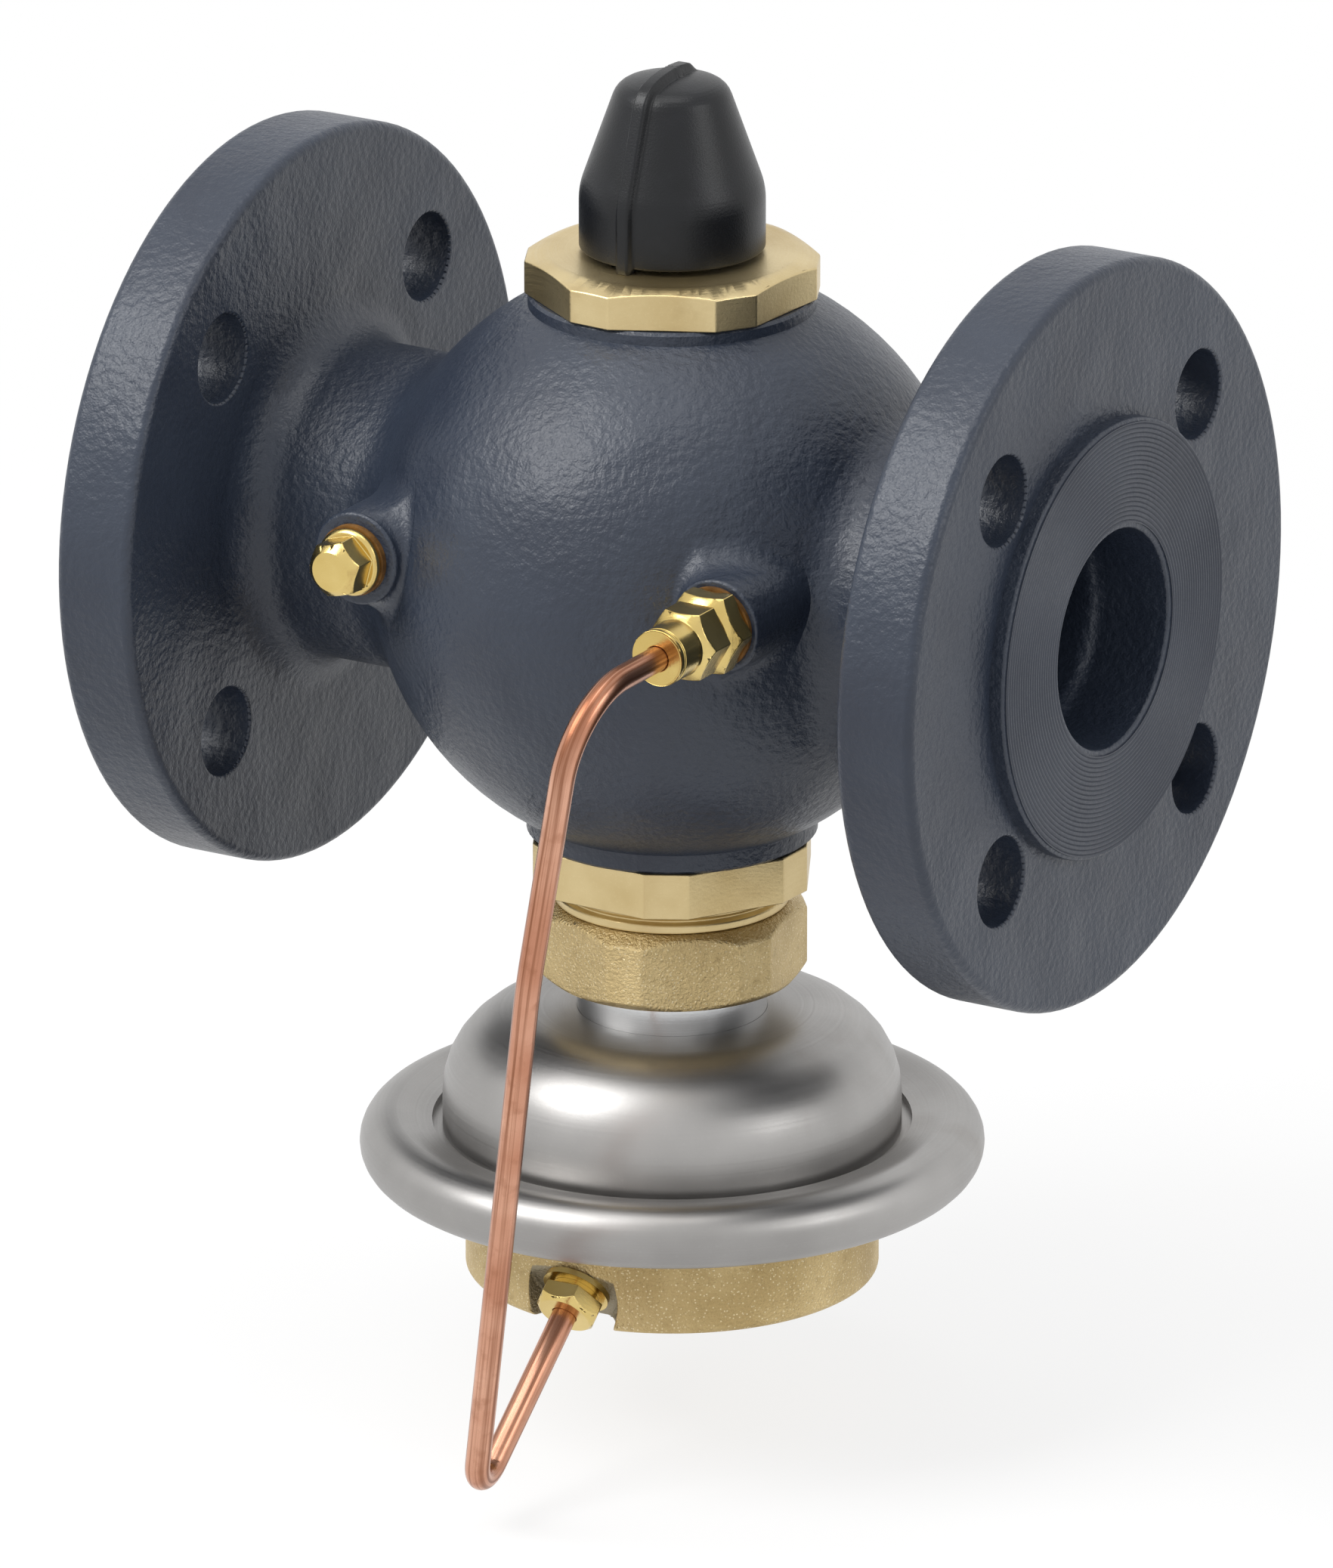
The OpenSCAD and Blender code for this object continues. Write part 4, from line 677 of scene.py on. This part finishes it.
def makeKnob(k):
    # the outer and the inner outline are spun round the stem axis as one closed shell, and the rib is raised from it
    low, wall = k["low"], k["wall"]
    outer = roundedOutline([
        (k["skirt"] - wall, low, 0), (k["skirt"], low, k["footRound"]),
        (k["skirt"], low + k["skirtHeight"], k["shoulderRound"]),
        (k["coneTop"], low + k["coneHeight"], k["crownRound"]),
        (k["coneTop"] / 2, low + k["height"] - k["crownRise"], k["crownRound"]),
        (0, low + k["height"], 0)], k["spacing"])
    inner = roundedOutline([
        (0, low + k["socketHeight"], 0), (k["socket"], low + k["socketHeight"], 0),
        (k["socket"], low + k["hubGap"], k["lipRound"]), (k["hub"], low + k["hubGap"], k["lipRound"]),
        (k["hub"], low + k["coneHeight"] - k["hubRoof"], k["insideRound"]),
        (k["coneTop"] - wall, low + k["coneHeight"] - k["roof"], k["insideRound"]),
        (k["skirt"] - wall, low + k["skirtHeight"], k["insideRound"]),
        (k["skirt"] - wall, low + k["rimGap"], 0)], k["insideSpacing"])
    grid = spunGrid(outer, k["around"])
    slope = np.gradient(outer, axis=0)
    slope /= np.linalg.norm(slope, axis=1)[:, None]
    angle = np.linspace(0, 2 * np.pi, k["around"], endpoint=False)
    out = np.stack([slope[:, 1, None] * np.cos(angle), slope[:, 1, None] * np.sin(angle),
                    -slope[:, 0, None] + 0 * angle], -1)  # straight out from the outline
    # rib: a flat-topped ridge over |x| that runs up the front and over the crown, where it is a little taller, and
    # reaches a little below the rim at the front
    ridge = smoothStep((k["ribHalf"] + k["ribSoft"] - abs(grid[..., 0])) / (2 * k["ribSoft"]))
    reach = smoothStep((k["finBack"] - grid[..., 1]) / k["finTaper"])
    lift = smoothStep((grid[..., 2] - low - k["skirtHeight"]) / (k["coneHeight"] - k["skirtHeight"]))
    rise = ridge * reach * (k["ribHeight"] + (k["finHeight"] - k["ribHeight"]) * lift)
    outside = (outer[:, 0] > k["skirt"] - wall * k["ribInset"]) | (outer[:, 1] > low + k["skirtHeight"])
    grid = grid + out * (rise * outside[:, None])[..., None]
    drop = smoothStep(1 - (grid[..., 2] - low) / k["dropHeight"]) * (grid[..., 1] < 0)
    grid[..., 2] -= ridge * reach * k["ribDrop"] * drop
    whole = np.concatenate([grid, spunGrid(inner, k["around"])]) + stemAxis
    piece = surfacePiece("settingKnobShell", whole, k["crease"])
    finishPiece(piece, "knob", knobPlastic, ["setting_knob"])


makeKnob(knob)
print("knob made")

pipe = {
    # points are measured from the stem axis, and each of the three bends has a radius and a number of steps
    "radius": 2.5 * mm, "bore": 1.7 * mm, "startDepth": 6.5 * mm, "nutFront": 22.5 * mm, "run": 31 * mm,
    "bow": (27 * mm, -101 * mm, -54 * mm), "shortLeg": 53 * mm, "lowStart": 0.5 * mm,
    "bends": (16 * mm, 160 * mm, 6.5 * mm), "bendSteps": (26, 22, 30), "around": 32, "spacing": 1.6 * mm, "crease": 50,
}


def roundCorner(a, b, c, radius, steps):
    # an arc of the radius that touches both legs of the corner b
    u, w = (a - b) / np.linalg.norm(a - b), (c - b) / np.linalg.norm(c - b)
    half = math.acos(float(u @ w)) / 2
    middle = b + (u + w) / np.linalg.norm(u + w) * radius / math.sin(half)
    p, q = b + u * radius / math.tan(half) - middle, b + w * radius / math.tan(half) - middle
    swing = math.pi - 2 * half
    t = np.linspace(0, 1, steps)[:, None]
    return middle + (np.sin((1 - t) * swing) * p + np.sin(t * swing) * q) / math.sin(swing)


def pipeRoute(p):
    # straight out of the upper nut, down the front by the bow and back into the lower tap, with an arc at each corner
    start = np.array([body["tapOffset"], -body["tapFace"] - p["startDepth"], body["tapHeight"]])
    corner = np.array([body["tapOffset"], -body["tapFace"] - p["nutFront"] - p["run"], body["tapHeight"]])
    out = np.array([math.sin(lowTurn) * math.cos(lowTilt), -math.cos(lowTurn) * math.cos(lowTilt), -math.sin(lowTilt)])
    legs = [start, corner, np.array(p["bow"]), lowTapPoint + out * p["shortLeg"], lowTapPoint + out * p["lowStart"]]
    arcs = [roundCorner(*legs[k:k + 3], p["bends"][k], p["bendSteps"][k]) for k in range(3)]
    line = np.concatenate([legs[0][None], *arcs, legs[-1][None]])
    run = runLength(line)
    stops = np.union1d(run, np.arange(0, run[-1], p["spacing"]))
    return np.stack([np.interp(stops, run, line[:, k]) for k in range(3)], -1) + stemAxis, stops


def makePipe(p):
    # a circle across the route at each of its points gives the outside, and a smaller one, run backwards, the bore
    line, stops = pipeRoute(p)
    ahead = np.gradient(line, axis=0)
    ahead /= np.linalg.norm(ahead, axis=1)[:, None]
    side = np.cross(ahead, [1.0, 0, 0])
    side /= np.linalg.norm(side, axis=1)[:, None]
    up = np.cross(ahead, side)
    angle = np.linspace(0, 2 * np.pi, p["around"], endpoint=False)
    ring = np.cos(angle)[None, :, None] * side[:, None] + np.sin(angle)[None, :, None] * up[:, None]
    outer, inner = line[:, None] + ring * p["radius"], line[::-1, None] + ring[::-1] * p["bore"]
    grid = np.concatenate([outer, inner])
    piece = surfacePiece("impulsePipe", grid, p["crease"])
    # the streaks' coordinates: round the pipe as cosine and sine, and along it in metres
    way = np.stack([np.cos(angle) + 0 * stops[:, None], np.sin(angle) + 0 * stops[:, None],
                    stops[:, None] + 0 * angle], -1)
    way = np.concatenate([way, way[::-1]]).reshape(-1, 3)
    stored = piece.data.attributes.new("pipeWay", "FLOAT_VECTOR", "POINT")
    stored.data.foreach_set("vector", way.astype(np.float32).ravel())
    finishPiece(piece, "valve", pipeCopper, ["impulse_tube"])


makePipe(pipe)
print("pipe made")

brokenEdges = [  # piece, CAD node, slot, material, broken edge
    ("topBonnet", "top_bonnet", "brass", bonnetBrass, 0.35 * mm),
    ("lowerBonnet", "lower_bonnet", "brass", bonnetBrass, 0.35 * mm),
    ("unionNut", "union_nut", "cast_brass", castBrass, 0.5 * mm),
    ("actuatorBase", "actuator_base", "cast_brass", castBrass, 0.5 * mm),
    ("tapPlug", "tap_plug", "brass", fittingBrass["plug"], 0.22 * mm),
    ("upperConnector", "upper_connector", "brass", fittingBrass["upper"], 0.22 * mm),
    ("upperNut", "upper_compression_nut", "brass", fittingBrass["upper"], 0.22 * mm),
    ("lowerNut", "lower_compression_nut", "brass", fittingBrass["lower"], 0.2 * mm),
]
for pieceName, node, slotName, material, width in brokenEdges:
    roundedCopy(pieceName, node, "valve", material, width)
smoothCopy("actuatorDome", "actuator_upper_shell", "valve", spunSteel)
smoothCopy("actuatorRim", "rim_clamp_ring", "valve", spunSteel)

keptSolids = [  # CAD nodes that keep their solid and get a real finish
    (bonnetBrass, ["flow_restrictor"]),
    (fittingBrass["lower"], ["lower_connector", "lower_connector_washer", "lower_ferrule"]),
    (fittingBrass["upper"], ["upper_ferrule"]),
    (bronze, ["stem_guide_bush", "neck_bush"]),
    (turnedSteel, ["actuator_neck", "seat_ring", "setting_spindle", "control_cone", "valve_stem", "actuator_stem"]),
    (spunSteel, ["actuator_lower_pan", "upper_diaphragm_plate", "lower_diaphragm_plate"]),
    (springSteel, ["control_spring", "spindle_circlip", "diaphragm_nut", "cone_nut", "restrictor_key"]),
    (sealRubber, ["top_bonnet_o_ring", "spindle_o_rings", "lower_bonnet_o_ring", "stem_seal", "cone_seal",
                  "diaphragm"]),
    (gasketFibre, ["tap_plug_gasket", "upper_connector_gasket"]),
]
for material, nodes in keptSolids:
    for node in nodes:
        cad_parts[node].material_slots[0].material = material
print("metal and seals dressed")

studio = {"floorDrop": 8 * mm, "floorSize": 40.0, "floorGrey": 0.8, "worldStrength": 0.47, "white": 1.0, "glow": 0.78,
          "lit": 0.24, "fadeFrom": 0.25, "fadeTo": 0.75}
lamps = [  # name, azimuth, elevation, distance, size, power
    ("keyPanel", -38, 48, 1.7, 0.9, 19.0),
    ("sidePanel", 88, 26, 1.7, 0.8, 4.5),
    ("topPanel", 20, 84, 1.6, 0.9, 5.0),
]


def seenDirectly(tree):
    # 1 for rays that show the background: from the camera, a reflection or glass
    ray = tree.nodes.new("ShaderNodeLightPath").outputs
    both = math2(tree, "MAXIMUM", ray["Is Camera Ray"], ray["Is Glossy Ray"])
    return math2(tree, "MAXIMUM", both, ray["Is Transmission Ray"])


def grey(level):
    return level, level, level, 1


def makeFloor(s):
    # lights the object as a grey floor; seen directly it is near white with the object's shadow, and pure white
    # from fadeTo outwards
    half, z = s["floorSize"] / 2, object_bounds()[0].z - s["floorDrop"]
    mesh = bpy.data.meshes.new("studioFloor")
    mesh.from_pydata([(-half, -half, z), (half, -half, z), (half, half, z), (-half, half, z)], [], [(0, 1, 2, 3)])
    material = bpy.data.materials.new("studioFloor")
    material.use_nodes = True
    tree = material.node_tree
    tree.nodes.clear()
    at = centred(tree, tree.nodes.new("ShaderNodeTexCoord").outputs["Object"], stemAxis)
    radius = aroundAxis(tree, at)[0]
    plain = putNode(tree, "ShaderNodeBsdfDiffuse", {"Color": grey(s["floorGrey"])}).outputs[0]
    white = putNode(tree, "ShaderNodeEmission", {"Color": grey(1), "Strength": s["white"]}).outputs[0]
    glow = putNode(tree, "ShaderNodeEmission", {"Color": grey(1), "Strength": s["glow"]}).outputs[0]
    lit = putNode(tree, "ShaderNodeBsdfDiffuse", {"Color": grey(s["lit"])}).outputs[0]
    near = putNode(tree, "ShaderNodeAddShader", {0: glow, 1: lit}).outputs[0]
    fade = remap(tree, radius, s["fadeFrom"], s["fadeTo"])
    shown = putNode(tree, "ShaderNodeMixShader", {0: fade, 1: near, 2: white}).outputs[0]
    mixed = putNode(tree, "ShaderNodeMixShader", {0: seenDirectly(tree), 1: plain, 2: shown}).outputs[0]
    putNode(tree, "ShaderNodeOutputMaterial", {"Surface": mixed})
    mesh.materials.append(material)
    floor = bpy.data.objects.new("studioFloor", mesh)
    bpy.context.scene.collection.objects.link(floor)
    floor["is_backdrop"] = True


def makeLight(s):
    # soft white world for the object, plain white where the world is seen directly, and three square lamps
    world = bpy.data.worlds.new("studio")
    world.use_nodes = True
    tree = world.node_tree
    tree.nodes.clear()
    soft = putNode(tree, "ShaderNodeBackground", {"Color": grey(1), "Strength": s["worldStrength"]}).outputs[0]
    white = putNode(tree, "ShaderNodeBackground", {"Color": grey(1), "Strength": s["white"]}).outputs[0]
    mixed = putNode(tree, "ShaderNodeMixShader", {0: seenDirectly(tree), 1: soft, 2: white}).outputs[0]
    putNode(tree, "ShaderNodeOutputWorld", {"Surface": mixed})
    bpy.context.scene.world = world
    for name, azimuth, elevation, distance, size, power in lamps:
        data = bpy.data.lights.new(name, "AREA")
        data.shape, data.size, data.energy = "SQUARE", size, power
        aimAt(bpy.data.objects.new(name, data), camera["target"], viewDirection(azimuth, elevation), distance)


makeFloor(studio)
makeLight(studio)
bpy.context.scene.view_settings.view_transform = "Standard"
print("studio set")
